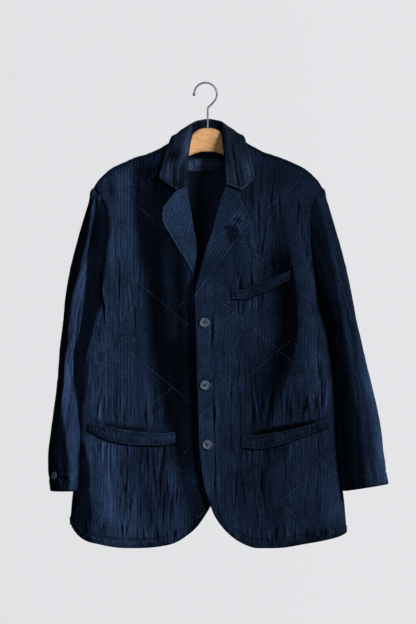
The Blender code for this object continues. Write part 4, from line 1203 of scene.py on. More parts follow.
def under_front_tone_and_shade(x, z, patches):
    """Tone of the under front, which lies in a hollow behind the over front."""
    # painted shade: the hollow behind the over front is darkened from where it begins
    start = smooth(HOLLOW, "z", "x", z) - 26 - 12 * ramp(z, -420, 100)
    hollow = ramp(x, start, 36) * (1 - ramp(z, -180, 50))
    # painted light on a ridge that stands up in the hollow
    lit_ridge = 0.5 * bell(x + 72 + 0.06 * (z + 400), 11) * ramp(z, -540, 70) * (1 - ramp(z, -360, 50))
    # painted shade where the body turns away to its side, and painted light on the lit cloth beside it
    from_side = x - smooth(SIDE_TURN, "z", "x", z)
    side = 1 - ramp(x, smooth(SIDE_TURN, "z", "x", z) - 4 + 3 * noise(z / 22, 0.5, 35), 7)
    strong = 1.2 + 0.24 * (1 - ramp(z, -620, 200))
    bright = (strong - (strong - 0.6) * ramp(from_side, 20, 110) + patches) * wear_light_and_shade(x, z, RIGHT_WEAR_LIGHT_AND_SHADE)
    # painted light that lifts the shade next to the over front
    beside = ramp(x, -52, 24) * (0.15 + 0.85 * ramp(z, -560, 120))
    deep = (0.9 - 0.6 * beside) * hollow * (1 - lit_ridge)
    # painted shade just above the hip welt
    shade_above_welt = bell(z - smooth(RIGHT_HIP_WELT, "x", "top", x) - 4, 4)
    shade_above_welt = shade_above_welt * ramp(x, -210, 18) * (1 - ramp(x, -128, 18))
    # painted light beside the over front's edge
    lit_beside_edge = 1 + 0.9 * bell(smooth(LEFT_EDGE, "z", "x", z) - x, 11)
    return bright * (1 - deep) * (1 - 0.85 * side) * (1 - 0.6 * shade_above_welt) * lit_beside_edge


def over_front_tone_and_shade(x, z, patches):
    """Tone of the over front: painted shade in a long fold and in the gaping hip pocket, painted light on
    its lit lower side and on the rise beyond the fold; lighter towards the hem and by its front edge up high.
    """
    # painted light on the lit lower side
    lit_low_side = 1.2 * ramp(x, 225, 35) * (1 - ramp(z, -850, 120))
    # painted shade in a long fold, and painted light on the rise beyond it
    past = x - smooth(CHEST_FOLD, "z", "x", z)
    fold = ramp(past, -62, 38) * (1 - ramp(past, -3, 7)) * ramp(z, -740, 60) * (1 - ramp(z, -380, 90))
    fold = fold * (0.62 + 0.38 * ramp(z, -640, 120))
    beyond = bell(x - 206, 26) * ramp(z, -700, 80) * (1 - ramp(z, -330, 90))
    low = 0.13 * (1 - ramp(z, -760, 260))
    edge = 0.12 * (1 - ramp(x, 30, 60)) * (1 - ramp(z, -420, 60))
    # painted shade in the gaping mouth of the hip pocket
    above = z - smooth(LEFT_HIP_WELT, "x", "top", x)
    gape = 12 * np.sin(math.pi * np.clip((x - 84) / 150, 0, 1)) ** 0.8
    mouth = (above > -6) * (1 - ramp(above, gape - 3, 5)) * ramp(gape, 1, 5)
    base = 0.32 + patches * 0.6 + low + edge + 0.2 * lit_low_side + 0.16 * beyond
    return base * (1 - 0.84 * fold) * (1 - 0.9 * mouth) * wear_light_and_shade(x, z, LEFT_WEAR_LIGHT_AND_SHADE)


def front_tone_and_shade(side, x, z):
    """Tone of a front: wear and washing, painted shade in its hollows and folds, painted light on its lit
    parts.
    """
    patches = 0.10 * noise(x / 70, z / 95, 31) + 0.06 * noise(x / 24, z / 60, 32)
    return (over_front_tone_and_shade if side > 0 else under_front_tone_and_shade)(x, z, patches)


def add_front(cloth, word):
    """One front of the jacket, with its hem, edge, pocket mouths and wear."""
    side, edge, hem = FRONTS[word]

    def at_edge(row):
        return meeting(row, lambda z: float(smooth(edge, "z", "x", z)))

    def at_side(row):
        return meeting(row, lambda z: CENTRE + side * side_half(z))

    ends = (at_edge, at_side)[::side]
    pitch, rows = cloth.rib_pitch / MM, panel_rows(hem, ridge_z)
    panel = Panel(rows, *ends, face_of(side), front_y, pitch, 40 + side, FRONT_RIB_COLUMNS)
    points = panel.points
    x, z = points[..., 0], points[..., 2]
    above = z - smooth(hem, "x", "z", x)
    turned_up = hem_relief(points, hem, 60 + side)
    relief = turned_up + edge_relief(points, edge, side)
    # painted light and shade on the hem's raised band and puckers, darker along its rolled edge, and painted
    # shade in the groove of its stitches
    drawn = 1 + 0.35 * np.clip(turned_up, -1.6, 1.6) * (above < 32)
    hem_tone = 1 - 0.5 * (1 - ramp(above, 2, 24)) - 0.4 * bell(above - TURN_UP, 1.8)
    fade = front_tone_and_shade(side, x, z) * drawn * hem_tone
    for welt_side, welt in WELTS.values():
        if welt_side == side:
            relief = relief + pocket_relief(points, welt, 70 + side)
            fade = fade * welt_tone(x, z, welt)
    if side > 0:
        relief = relief + hole_relief(points) + seam_relief(points)
        fade = fade * seam_and_button_shade(x, z)
    fade = fade * (1 - 0.45 * ramp(closing(x, z), 0.9, 0.1))
    rib = cloth.rib_height / MM * (0.55 if side > 0 else 1.0)
    bands = LEFT_PUCKERS if side > 0 else RIGHT_PUCKERS
    thick = cloth.thickness / MM
    piece = build_panel(FRONT_OF[side], panel, "front", relief, fade, rib, 50 + side, thick, bands)
    declare_panel(piece, f"front_{word}", panel)


def declare_panel(piece, node, panel):
    """Works out a body panel's widest row, its longest rib and its area, and lets it stand for its solid."""
    spans = [float(np.interp(high, x, arc) - np.interp(low, x, arc)) for _, low, high, x, arc in panel.lines]
    points = panel.points
    down = distance_along(points)[-1]
    tall = float(down[np.argmax(points[-1, :, 2] - points[0, :, 2])])
    area = cut_area(points)
    declare(piece, node, (max(spans), max(tall, area / max(spans))), area)


def add_back(cloth):
    """The back, from side seam to side seam."""
    def at_right(row):
        return meeting(row, lambda z: CENTRE - side_half(z))

    def at_left(row):
        return meeting(row, lambda z: CENTRE + side_half(z))

    pitch, rows = cloth.rib_pitch / MM, panel_rows(BACK_HEM, back_top, 1.5)
    panel = Panel(rows, at_right, at_left, rear_y, back_y, pitch, 47, BACK_RIB_COLUMNS)
    x, z = panel.points[..., 0], panel.points[..., 2]
    relief = hem_relief(panel.points, BACK_HEM, 65)
    fade = 0.86 + 0.10 * noise(x / 70, z / 95, 33)
    # painted shade high on the back, right of its middle, for the lining seen through the neck; it darkens
    # the outside there too
    fade = fade * (1 - 0.65 * bell(x + 30, 24) * ramp(z, -420, 120))
    rib, thick = cloth.rib_height / MM, cloth.thickness / MM
    piece = build_panel("back_cloth", panel, "back", relief, fade, rib, 57, thick)
    declare_panel(piece, "back", panel)


def facing_front(turn):
    """1 on the part of a sleeve that faces the front, 0 on the part that faces back."""
    return ramp(np.sin(turn) + 0.4 * (np.cos(turn) > 0), -0.5, 0.5)


def right_sleeve_light_and_shade(points, turn):
    """The right sleeve: painted light on one long facet that faces the front and a painted highlight at its
    head, painted shade beside the facet.
    """
    x, z = points[..., 0], points[..., 2]
    # painted light on the lit facet, painted shade on the cloth beside it that turns away
    low, high = smooth(RIGHT_FACET, "z", "low", z), smooth(RIGHT_FACET, "z", "high", z)
    facet = ramp(x, low - 3, 4) * (1 - ramp(x, high - 1, 2.5)) * (np.sin(turn) > 0)
    within = ramp(x, high - 1, 2.5)
    bright = 0.95 + 0.5 * ramp(z, -480, 160) + 0.4 * bell(z + 600, 60)
    # a painted highlight on a spot at the sleeve's head
    front = 0.12 * (1 - within) + 0.11 * within + bright * facet + 0.3 * bell(x + 214, 12) * bell(z + 222, 24)
    return (0.8 + (front - 0.8) * facing_front(turn)) * (1 + 0.16 * noise(turn * 3.5, z / 60, 81))


def left_sleeve_light_and_shade(points, turn):
    """The left sleeve: painted light on its outer half, painted shade on its inner half, lightened beside the
    body lower down.
    """
    x, z = points[..., 0], points[..., 2]
    from_low = x - smooth(LEFT_FACET, "z", "low", z)
    # painted light on the outer half, strongest on its outermost part
    outer = ramp(from_low, -3, 9)
    outermost = ramp(from_low, 18, 28)
    from_body = x - CENTRE - smooth(BODY, "z", "half", z)
    # painted shade on the inner half, lightened in the strip beside the body lower down
    inner = 0.11 + 0.5 * (1 - ramp(from_body, 1, 9)) * (1 - ramp(z, -480, 60))
    front = inner * (1 - outer) + (0.34 + 1.5 * outermost) * outer
    return (0.72 + (front - 0.72) * facing_front(turn)) * (1 + 0.18 * noise(turn * 3.5, z / 60, 82))


SLEEVES = {
    "left": (1, LEFT_SLEEVE, LEFT_WRINKLES, left_sleeve_light_and_shade, 151),
    "right": (-1, RIGHT_SLEEVE, RIGHT_WRINKLES, right_sleeve_light_and_shade, 161),
}


def add_collar(cloth, stitch):
    """The collar's fall, folded over its stand."""
    face = collar_grid()
    x, y, z = np.moveaxis(face, -1, 0)
    normals = grid_normals(face)
    down = distance_along(face)
    along = np.linalg.norm(np.diff(face, axis=1), axis=-1).mean(axis=0)
    along = np.concatenate([[0], np.cumsum(along)])
    run = np.broadcast_to(along, down.shape)
    counts = down / (cloth.rib_pitch / MM)
    ribs = cloth.rib_height / MM * rib_height(counts, run, 91)
    from_edge = down[-1:] - down
    ends = np.minimum(run, along[-1] - run)
    relief = rim_relief(from_edge, EDGE_BAND) + rim_relief(ends, COLLAR_END_BAND)
    relief = relief + 0.9 * noise(run / 26, down / 14, 92)
    folds = crease_height(x, z, COLLAR_CREASES) * (y < -20)
    relief = relief + folds
    lifted = face + normals * (ribs * np.clip(from_edge / 6, 0, 1) + relief + 0.6)[..., None]
    place = np.stack([counts * cloth.rib_pitch / MM, run], -1)
    right = run > along[-1] / 2
    # the tone follows the ribs: painted shade between them, lighter on their tops
    fade = 0.35 + 0.17 * noise(run / 40, down / 12, 93) + 0.36 * (ribs - 0.4) - 0.05 * right
    # painted highlight along the collar's roll, mostly on the wearer's right half
    rolled = (1 - ramp(down, 4, 22)) * ramp(z, -160, 40) * (0.1 + 0.7 * right)
    # the small dark stitches, and painted light and shade on the collar's creases
    fade = fade * (1 - 0.4 * dashes(counts, run, 94)) * np.clip(1 + 0.42 * folds, 0.25, 1.9)
    fade = (fade + 0.75 * rolled) * edge_tone(np.minimum(from_edge, ends), EDGE_BAND)
    piece = make_sheet("collar_cloth", lifted, place, fade, FOLDED_CLOTH, cloth_slots())
    size = (float(along[-1]), float(down[-1].max()))
    declare(piece, "collar", size, cut_area(face))
    lines = [along_edge(lifted, normals, from_edge, EDGE_BAND)]
    middle = run.shape[1] // 2
    for half in (slice(0, middle), slice(middle, None)):
        across = [grid[:, half].swapaxes(0, 1) for grid in (lifted, normals, ends)]
        lines.append(along_edge(*across, COLLAR_END_BAND))
    add_topstitching(stitch, "collar_topstitch", lines, 310)


LAPELS = {
    "left": (1, LEFT_LAPEL, (math.cos(math.radians(33)), -math.sin(math.radians(33)))),
    "right": (-1, RIGHT_LAPEL, (math.cos(math.radians(29)), math.sin(math.radians(29)))),
}


def add_lapel(cloth, stitch, word):
    """A lapel, turned back at the roll line and pressed nearly flat on its front."""
    side, table, direction = LAPELS[word]
    steps, across = np.linspace(0, 1, 150), np.linspace(0, 1, 50)
    x, z, lift, width = lapel_points(table, steps, across)
    face = laid_grid(x, z, face_of(side), lift)
    out = body_normal(face, "front")
    pitch = cloth.rib_pitch / MM
    counts = (x * direction[0] + z * direction[1]) / pitch
    run = x * direction[1] - z * direction[0]
    ribs = cloth.rib_height / MM * rib_height(counts, run, 101 + side)
    from_edge = width[:, None] * (1 - across)
    top = np.linalg.norm(np.diff(face, axis=0), axis=-1)
    from_top = np.concatenate([np.cumsum(top[::-1], axis=0)[::-1], np.zeros((1, len(across)))])
    relief = rim_relief(from_edge, EDGE_BAND) + rim_relief(from_top, GORGE_BAND) * 0.8
    relief = relief + 1.0 * noise(x / 26, z / 30, 103 + side)
    fade = (0.95 if side < 0 else 0.45) + 0.1 * noise(x / 30, z / 45, 105)
    # the tone follows the ribs: painted shade between them, lighter on their tops
    fade = fade * (1 + 0.5 * (ribs - 0.4))
    if side > 0:
        relief = relief + 2.0 * buttonhole_mark(x, z)
        fade = fade * lapel_marks(x, z)
    rim = np.clip(np.minimum(from_edge, from_top) / 6, 0.1, 1)
    lifted = face + out * (ribs * rim + relief + FOLDED_CLOTH)[..., None]
    fade = fade * (1 - 0.42 * dashes(counts, run, 108 + side))
    fade = fade * edge_tone(np.minimum(from_edge, from_top + 2), EDGE_BAND)
    sheet = [values[:, ::side] for values in (lifted, np.stack([counts * pitch, run], -1), fade)]
    piece = make_sheet(f"lapel_{word}_cloth", *sheet, FOLDED_CLOTH, cloth_slots())
    size = (float(width.max()), float(top.sum(axis=0).max()))
    declare(piece, f"lapel_{word}", size, cut_area(face))
    lines = [along_edge(lifted.swapaxes(0, 1), out.swapaxes(0, 1), from_edge.T, EDGE_BAND)]
    lines.append(along_edge(lifted, out, from_top, GORGE_BAND))
    add_topstitching(stitch, f"lapel_{word}_topstitch", lines, 320 + side)


def buttonhole_mark(x, z):
    """The lapel's closed buttonhole, drawn into a star-shaped pucker."""
    away = np.hypot(x - LAPEL_HOLE[0], z - LAPEL_HOLE[1])
    turn = np.arctan2(z - LAPEL_HOLE[1], x - LAPEL_HOLE[0])
    spokes = np.abs(np.cos(3 * turn + 0.4)) ** 3
    return -1.2 * spokes * bell(away, 9) + 0.6 * (1 - spokes) * bell(away - 8, 5)


def lapel_marks(x, z):
    """Tone of the small darker square pieced into the left lapel, with painted shade in the pucker of its
    buttonhole and painted light on the cloth raised round it.
    """
    from_x, from_z = x - LAPEL_PATCH[0], z - LAPEL_PATCH[1]
    along, up = from_x + 0.35 * from_z, from_z - 0.2 * from_x
    square = ramp(along, -13, 2) * (1 - ramp(along, 11, 2)) * ramp(up, -19, 2) * (1 - ramp(up, 17, 2))
    outline = bell(np.maximum(np.abs(along + 1) - 12, np.abs(up + 1) - 18), 1.4)
    hole = np.clip(1.5 * np.maximum(0, -buttonhole_mark(x, z)), 0, 1)
    raised = bell(np.hypot(x - LAPEL_HOLE[0], z - LAPEL_HOLE[1]) - 11, 5)
    return (1 - 0.62 * square) * (1 - 0.4 * outline) * (1 - 0.9 * hole) * (1 + 0.5 * raised)


WELTS = {
    "hip_welt_left": (1, LEFT_HIP_WELT),
    "hip_welt_right": (-1, RIGHT_HIP_WELT),
    "chest_welt": (1, CHEST_WELT),
}


def add_welt(stitch, name):
    """A pocket's welt, its cloth gathered in slanting puckers between two lines of stitches."""
    side, table = WELTS[name]
    seed = 120 + len(name)
    start, end = table[0].x, table[-1].x
    line, part = np.linspace(start, end, int((end - start) / 1.3)), np.linspace(0, 1, 20)[:, None]
    top, bottom = smooth(table, "x", "top", line), smooth(table, "x", "bottom", line)
    tall = top - bottom
    z = top + (bottom - top) * part
    x = np.broadcast_to(line, z.shape)
    lift = np.broadcast_to(WELT_LIFT + 1.4 * (1 - part) ** 3, z.shape)
    face = laid_grid(x, z, face_of(side), lift)
    out = body_normal(face, "front")
    ends = np.minimum(x - start, end - x)
    from_long = np.minimum(part, 1 - part) * tall
    slant = (x + 0.45 * z) / 9.0
    folds = np.abs(np.sin(math.pi * slant + 1.6 * noise(x / 16, z / 14, seed))) ** 0.7
    pucker = 1.5 * folds * (0.7 + 0.5 * noise(x / 13, z / 9, seed + 2)) * bell(part - 0.5, 0.4)
    relief = pucker + rim_relief(from_long, 3.5) * 0.8 + rim_relief(ends, 3.0) * 0.8
    lifted = face + out * (relief + FOLDED_CLOTH)[..., None]
    fade = 0.48 if side < 0 else 0.28 - 0.1 * bell(x - 135, 30)
    # the tone follows the puckers: painted light on their tops, painted shade between them
    fade = fade * (0.5 + 0.8 * pucker + 0.25 * noise(x / 20, z / 20, seed + 1))
    fade = fade * edge_tone(np.minimum(from_long, ends), 4.0)
    sheet = [values[::-1] for values in (lifted, np.stack([x, -z], -1), fade)]
    piece = make_sheet(f"{name}_cloth", *sheet, FOLDED_CLOTH, cloth_slots())
    declare(piece, name, (widest(face), float(tall.max())), cut_area(face))
    away = part * tall
    lines = [along_edge(lifted, out, from_long_side, WELT_STITCHES) for from_long_side in (away, tall - away)]
    add_topstitching(stitch, f"{name}_topstitch", lines, 330 + len(name))


def stand_foot():
    """The stand's lower edge along the neck seam, from the left front round to the right."""
    half = [(1, row.x, row.y, row.z) for row in STAND_FOOT]
    return half + [(-1, row.x, row.y, row.z) for row in reversed(STAND_FOOT[:-1])]


def add_stand():
    """The collar's stand, from the neck seam up to the inside of the fold."""
    fold, _ = collar_stations()
    stations = fold[4:-4].copy()
    inward = np.array([CENTRE, 8.0, 0.0]) - stations
    inward[:, 2] = 0
    inward /= np.linalg.norm(inward, axis=-1, keepdims=True)
    top = refine(stations + inward * STAND_INSET + np.array([0, 0, -STAND_DROP]), 16)
    neck = np.array([(CENTRE + side * x, y, z) for side, x, y, z in stand_foot()], float)
    foot = refine(neck, 16)
    parts = np.linspace(0, 1, 24)
    grid = np.array([top + (foot - top) * part for part in parts])
    tall = np.linalg.norm(foot - top, axis=1)
    along = distance_along(top)
    run, down = np.broadcast_arrays(along, parts[:, None] * tall)
    ribs = 0.45 * rib_height(down / SLEEVE_RIB, run, 131)
    lifted = grid + grid_normals(grid) * ribs[..., None]
    # painted shade: the stand is made dark all over, as the shade inside the collar
    tone, place = np.full(run.shape, 0.14), np.stack([down, run], -1)
    piece = make_sheet("collar_stand_cloth", lifted, place, tone, CLOTH, [finish("indigo_lining")])
    size = (float(along[-1]), float(tall.max()))
    declare(piece, "collar_stand", size, cut_area(grid))


def add_inside(name, node, slot, material, half, top, bottom, inset, thick, fade):
    """A flat piece inside the back neck, laid on the back's inner side."""
    x, z = np.meshgrid(CENTRE + np.linspace(half, -half, 60), np.linspace(bottom, top, 30))
    points = np.stack([x, rear_y(x, z), z], -1)
    into = -body_normal(points, "back")
    face = points + into * inset
    lines = bell(z - bottom - 4, 1.3) + bell(z - bottom - 14, 1.3)
    gathered = noise(x / 2.6, z / 9, 150 + len(name))
    bumps = 0.4 * noise(x / 9, z / 12, 140 + len(name)) + 0.7 * lines * gathered
    # painted shade, darker towards the wearer's right; the stitched lines are lighter
    tone = fade * (0.24 + 0.56 * ramp(x, -34, 50)) * (1 + 0.5 * lines * gathered)
    # its visible side faces the front, so that the columns run from the wearer's right
    lifted = face + into * bumps[..., None]
    sheet = [values[:, ::-1] for values in (lifted, np.stack([x, z], -1))]
    piece = make_sheet(name, *sheet, tone, thick, [finish(material)])
    declare(piece, node, (widest(face), float(top - bottom)), cut_area(face))


# ---- buttons ----

def ring_faces(rings, sides):
    """Faces of a tube of rings of points, with a cap at each end."""
    faces = []
    for ring in range(0, (rings - 1) * sides, sides):
        for i in range(sides):
            j = (i + 1) % sides
            faces.append((ring + i, ring + j, ring + sides + j, ring + sides + i))
    last = (rings - 1) * sides
    return faces + [tuple(range(sides))[::-1], tuple(last + i for i in range(sides))]


def turned(profile, sides):
    """Points and faces of a turned solid, from a profile of (radius, height)."""
    turns = np.linspace(0, 2 * math.pi, sides, endpoint=False)
    points = []
    for radius, height in profile:
        points.append(np.stack([radius * np.cos(turns), radius * np.sin(turns), np.full(sides, height)], -1))
    return np.concatenate(points), ring_faces(len(profile), sides)


def plain_object(name, points, faces, material, smooth_angle=None):
    """A mesh in metres, linked to the scene."""
    mesh = bpy.data.meshes.new(name)
    mesh.from_pydata(np.asarray(points).tolist(), [], faces)
    mesh.materials.append(material)
    mesh.shade_smooth()
    if smooth_angle is not None:
        mesh.set_sharp_from_angle(angle=smooth_angle)
    return link(name, mesh)


def button_blank(radius, gain):
    """A four-hole button as a mesh: rimmed, dished and drilled."""
    thick = BUTTON_THICK
    profile = [(radius - 1.6, 0.0), (radius - 0.7, 0.25), (radius - 0.1, 1.1)]
    for step in np.linspace(0, math.pi, 11):
        out, up = BUTTON_RIM * math.cos(step), BUTTON_RIM * math.sin(step)
        profile.append((radius - BUTTON_RIM + out, thick - BUTTON_RIM + up))
    profile += [(radius - 2.1, thick - 1.15), (radius - 2.9, thick - 1.35)]
    profile += [(radius * 0.5, thick - BUTTON_DISH), (radius * 0.2, thick - BUTTON_DISH)]
    points, faces = turned([(r * MM, h * MM) for r, h in profile], 48)
    stock = finish("smoky_button")
    blank = plain_object("button_blank", points, [face[::-1] for face in faces], stock, math.radians(40))
    cutters = []
    for corner in range(4):
        angle = math.radians(45 + 90 * corner)
        drill, sides = turned([(BUTTON_HOLE * MM, -thick * MM), (BUTTON_HOLE * MM, 2 * thick * MM)], 20)
        drill = drill + np.array([math.cos(angle), math.sin(angle), 0]) * HOLE_SPACING * MM
        cutter = plain_object(f"drill_{corner}", drill, [face[::-1] for face in sides], stock)
        blank.modifiers.new("hole", "BOOLEAN").object = cutter
        cutters.append(cutter)
    drilled = bpy.data.meshes.new_from_object(blank.evaluated_get(bpy.context.evaluated_depsgraph_get()))
    for used in [*cutters, blank]:
        bpy.data.objects.remove(used)
    reach = np.array([math.hypot(point.co.x, point.co.y) / MM for point in drilled.vertices]) / radius
    # painted shade in the dished middle and in the groove inside the rim; gain scales the whole tone
    keep_tone(drilled, gain * (0.04 + 0.8 * ramp(reach, 0.24, 0.12) - 0.4 * bell(reach - 0.73, 0.06)))
    return drilled


def seat(node, outward):
    """Where a CAD button sits and the way it faces."""
    mesh = frame["nodes"][node].data
    points = np.empty(len(mesh.vertices) * 3)
    mesh.vertices.foreach_get("co", points)
    points = points.reshape(-1, 3)
    middle = (points.min(axis=0) + points.max(axis=0)) / 2
    axis = np.linalg.svd(points - points.mean(axis=0))[2][2]
    return middle, axis if axis @ np.array(outward) >= 0 else -axis


def add_button(node, radius, place, seed, gain=1.0):
    """A button with its sewing thread, at a middle and facing along an axis."""
    drilled = button_blank(radius, gain)
    middle, axis = place
    facing = Vector(axis).to_track_quat("Z", "Y").to_matrix().to_4x4()
    turn = facing @ Matrix.Rotation(seed * 0.7, 4, "Z")
    start = Vector(middle - axis * BUTTON_THICK / 2 * MM)
    drilled.transform(Matrix.Translation(start) @ turn)
    stand_for(link(f"{node}_disc", drilled), node)
    spots, ways, ups = [], [], []
    high = (BUTTON_THICK - 1.25) * MM
    frame_turn = turn.to_3x3()
    for line in (-1, 1):
        for strand in (-0.35, 0, 0.35):
            centre = Vector((strand * MM, line * HOLE_SPACING * 0.7071 * MM, high))
            spots.append(start + frame_turn @ centre)
            ways.append(frame_turn @ Vector((1, 0.04 * strand, 0)))
            ups.append(Vector(axis))
    add_stitches(f"{node}_thread", spots, ways, ups, 3.4, 0.28, finish("dark_thread"))


# ---- stitches ----

def add_stitches(name, spots, ways, ups, lengths, radius, material):
    """Many stitches as one mesh: short threads with rounded ends. Places are in metres."""
    spots, ways, ups = np.array(spots, float), np.array(ways, float), np.array(ups, float)
    ways /= np.linalg.norm(ways, axis=-1, keepdims=True)
    ups = ups - ways * (ups * ways).sum(axis=-1, keepdims=True)
    ups /= np.linalg.norm(ups, axis=-1, keepdims=True)
    beside = np.cross(ways, ups)
    lengths = np.broadcast_to(lengths, len(spots))
    points = []
    for t, swell, drop in STITCH_RINGS:
        centre = spots + ways * (lengths * t * MM)[:, None] - ups * drop * radius * MM
        for turn in np.linspace(0, 2 * math.pi, STITCH_SIDES, endpoint=False):
            ring = beside * math.cos(turn) + ups * math.sin(turn) * 0.8
            points.append(centre + ring * swell * radius * MM)
    points = np.stack(points, axis=1).reshape(-1, 3)
    one = ring_faces(len(STITCH_RINGS), STITCH_SIDES)
    starts = np.arange(len(spots))[:, None, None] * len(STITCH_RINGS) * STITCH_SIDES
    faces = []
    for part in (one[:-2], one[-2:]):
        faces += (np.array(part)[None] + starts).reshape(-1, len(part[0])).tolist()
    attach(plain_object(name, points, faces, material), "root")


def sewn(points, normals, length, gap, seed, missing=0.06, wander=0.25, patchy=False):
    """Stitches along a line on the cloth: places, directions, normals and lengths."""
    rng = np.random.default_rng(seed)
    points = np.asarray(points, float)
    arc = distance_along(points)

    def read(values, at):
        return np.array([np.interp(at, arc, values[:, k]) for k in range(3)])

    spots, ways, ups, lengths = [], [], [], []
    at = rng.uniform(0, length)
    while at + length < arc[-1]:
        this = length * rng.uniform(0.78, 1.18)
        lost = missing
        if patchy:
            place = read(points, at)
            lost = missing + 0.85 * float(ramp(noise(place[0] / 48, place[2] / 48, seed), 0.0, 0.4))
        if rng.uniform() > lost:
            start, middle, end = [read(points, at + part * this) for part in (0, 0.5, 1)]
            up = read(normals, at + this / 2)
            side = np.cross(up, end - start)
            side /= max(np.linalg.norm(side), 1e-9)
            spots.append((middle + side * rng.uniform(-wander, wander)) * MM)
            ways.append(end - start + side * rng.uniform(-0.08, 0.08) * this)
            ups.append(up)
            lengths.append(this)
        at += this + gap * rng.uniform(0.75, 1.3)
    return spots, ways, ups, lengths


def bark(piece):
    """A tree of a piece's outer face, to lay stitches on."""
    mesh = piece.data
    points = np.empty(len(mesh.vertices) * 3)
    mesh.vertices.foreach_get("co", points)
    faces = [tuple(face.vertices) for face in mesh.polygons]
    return BVHTree.FromPolygons(points.reshape(-1, 3).tolist(), faces)


def laid_line(tree, x, z, ahead=-1):
    """Points and normals where a line in x and z meets a piece's outer face; gaps are left out."""
    found, normals = [], []
    for one_x, one_z in zip(x, z):
        from_air = Vector((one_x * MM, ahead, one_z * MM))
        hit, normal, _, _ = tree.ray_cast(from_air, Vector((0, -ahead, 0)))
        if hit is not None:
            found.append(np.array(hit) / MM)
            normals.append(np.array(normal) * (1 if normal.y * ahead > 0 else -1))
    return np.array(found), np.array(normals)


def along_edge(grid, normals, away, distance):
    """Points and normals of the line on a grid at one distance from its edge, one for each column."""
    points, ups = [], []
    for column in range(away.shape[1]):
        order = np.argsort(away[:, column])
        reach = away[order, column]
        if reach[0] <= distance <= reach[-1]:
            points.append([np.interp(distance, reach, grid[order, column, k]) for k in range(3)])
            ups.append([np.interp(distance, reach, normals[order, column, k]) for k in range(3)])
    return np.array(points), np.array(ups)


def add_topstitching(stitch, name, lines, seed):
    """Even stitches along the edges of a piece."""
    rows = [[], [], [], []]
    for number, (points, ups) in enumerate(lines):
        made = sewn(points, ups, TOPSTITCH, TOPSTITCH_GAP, seed + number, 0.1, 0.2)
        for row, values in zip(rows, made):
            row.extend(values)
    add_stitches(name, *rows, stitch.width * 0.42 / MM, finish("blue_thread"))


def stitch_body_edges(stitch):
    """Topstitching of the hems and of the over front's edge."""
    hems = {"front_left": (LEFT_HEM, -1), "front_right": (RIGHT_HEM, -1), "back": (BACK_HEM, 1)}
    for node, (hem, ahead) in hems.items():
        tree = bark(bpy.data.objects[f"{node}_cloth"])
        x = np.linspace(hem[0].x + 8, hem[-1].x - 4, 300)
        lines = [laid_line(tree, x, smooth(hem, "x", "z", x) + TURN_UP, ahead)]
        if node == "front_left":
            z = np.linspace(-470, -838, 200)
            lines.append(laid_line(tree, smooth(LEFT_EDGE, "z", "x", z) + EDGE_STITCHES, z))
        add_topstitching(stitch, f"{node}_topstitch", lines, 300 + len(node))


def add_buttonholes():
    """Worked buttonholes that show beside the front buttons."""
    tree = bark(bpy.data.objects["front_left_cloth"])
    spots, ways, ups = [], [], []
    for hole_x, hole_z in BUTTONHOLES:
        places = [(hole_x + 2.5 * math.cos(turn), hole_z + 2.5 * math.sin(turn), turn)
                  for turn in np.radians(np.linspace(-120, 120, 8))]
        for step in (1.8, 2.8, 3.8):
            places += [(hole_x - step, hole_z + side * 1.4, math.pi / 2) for side in (-1, 1)]
        for x, z, turn in places:
            points, normals = laid_line(tree, [x], [z])
            spots += [point * MM for point in points]
            ways += [(math.cos(turn), 0, math.sin(turn)) for _ in points]
            ups += list(normals)
    add_stitches("buttonhole_thread", spots, ways, ups, 2.0, 0.34, finish("pale_thread"))


def add_lattice(stitch, word):
    """The two families of slanting stitches on a front, wherever no other piece lies."""
    tree = bark(bpy.data.objects[f"front_{word}_cloth"])
    side = FRONTS[word][0]
    falls_at, rises_at = LATTICE_THROUGH[word]
    rows = [[], [], [], []]
    number = 0
    for slope, (through_x, through_z) in ((-LATTICE_SLOPE, falls_at), (LATTICE_SLOPE, rises_at)):
        for step in range(-7, 8):
            number += 1
            x = CENTRE + side * np.linspace(-40, 262, 240)[::side]
            z = through_z + step * LATTICE_RISE + slope * (x - through_x)
            free = ~covered(word, x, z)
            if free.sum() < 8:
                continue
            points, normals = laid_line(tree, x[free], z[free])
            if len(points) < 8:
                continue
            breaks = np.nonzero(np.linalg.norm(np.diff(points, axis=0), axis=1) > 12)[0] + 1
            for part in np.split(np.arange(len(points)), breaks):
                if len(part) < 4:
                    continue
                line = (points[part], normals[part], stitch.length / MM, stitch.gap / MM)
                for row, values in zip(rows, sewn(*line, 200 + number, patchy=True)):
                    row.extend(values)
    add_stitches(f"front_{word}_lattice", *rows, stitch.width / 2 / MM, finish("pale_thread"))


def in_polygon(x, z, corners):
    """Whether points lie inside a polygon in x and z."""
    inside = np.zeros(np.shape(x), bool)
    for (x0, z0), (x1, z1) in zip(corners, corners[1:] + corners[:1]):
        if z0 == z1:
            continue
        crosses = (z > min(z0, z1)) & (z <= max(z0, z1))
        inside ^= crosses & (x < x0 + (z - z0) * (x1 - x0) / (z1 - z0))
    return inside


def covered(word, x, z):
    """Whether a lapel or the collar or a welt lies over a place on a front."""
    side, table, _ = LAPELS[word]
    steps = np.linspace(0, 1, 30)
    roll, edge = [
        list(zip(smooth(table, "step", f"{line}_x", steps), smooth(table, "step", f"{line}_z", steps)))
        for line in ("roll", "edge")
    ]
    inside = in_polygon(x, z, roll + edge[::-1])
    inside |= (np.abs(x - CENTRE) < 100) & (z > -222)
    for welt_side, welt in WELTS.values():
        if welt_side == side:
            within = (x > welt[0].x) & (x < welt[-1].x)
            within &= (z < smooth(welt, "x", "top", x) + 3) & (z > smooth(welt, "x", "bottom", x) - 3)
            inside |= within
    return inside


# ---- hanger and hook ----

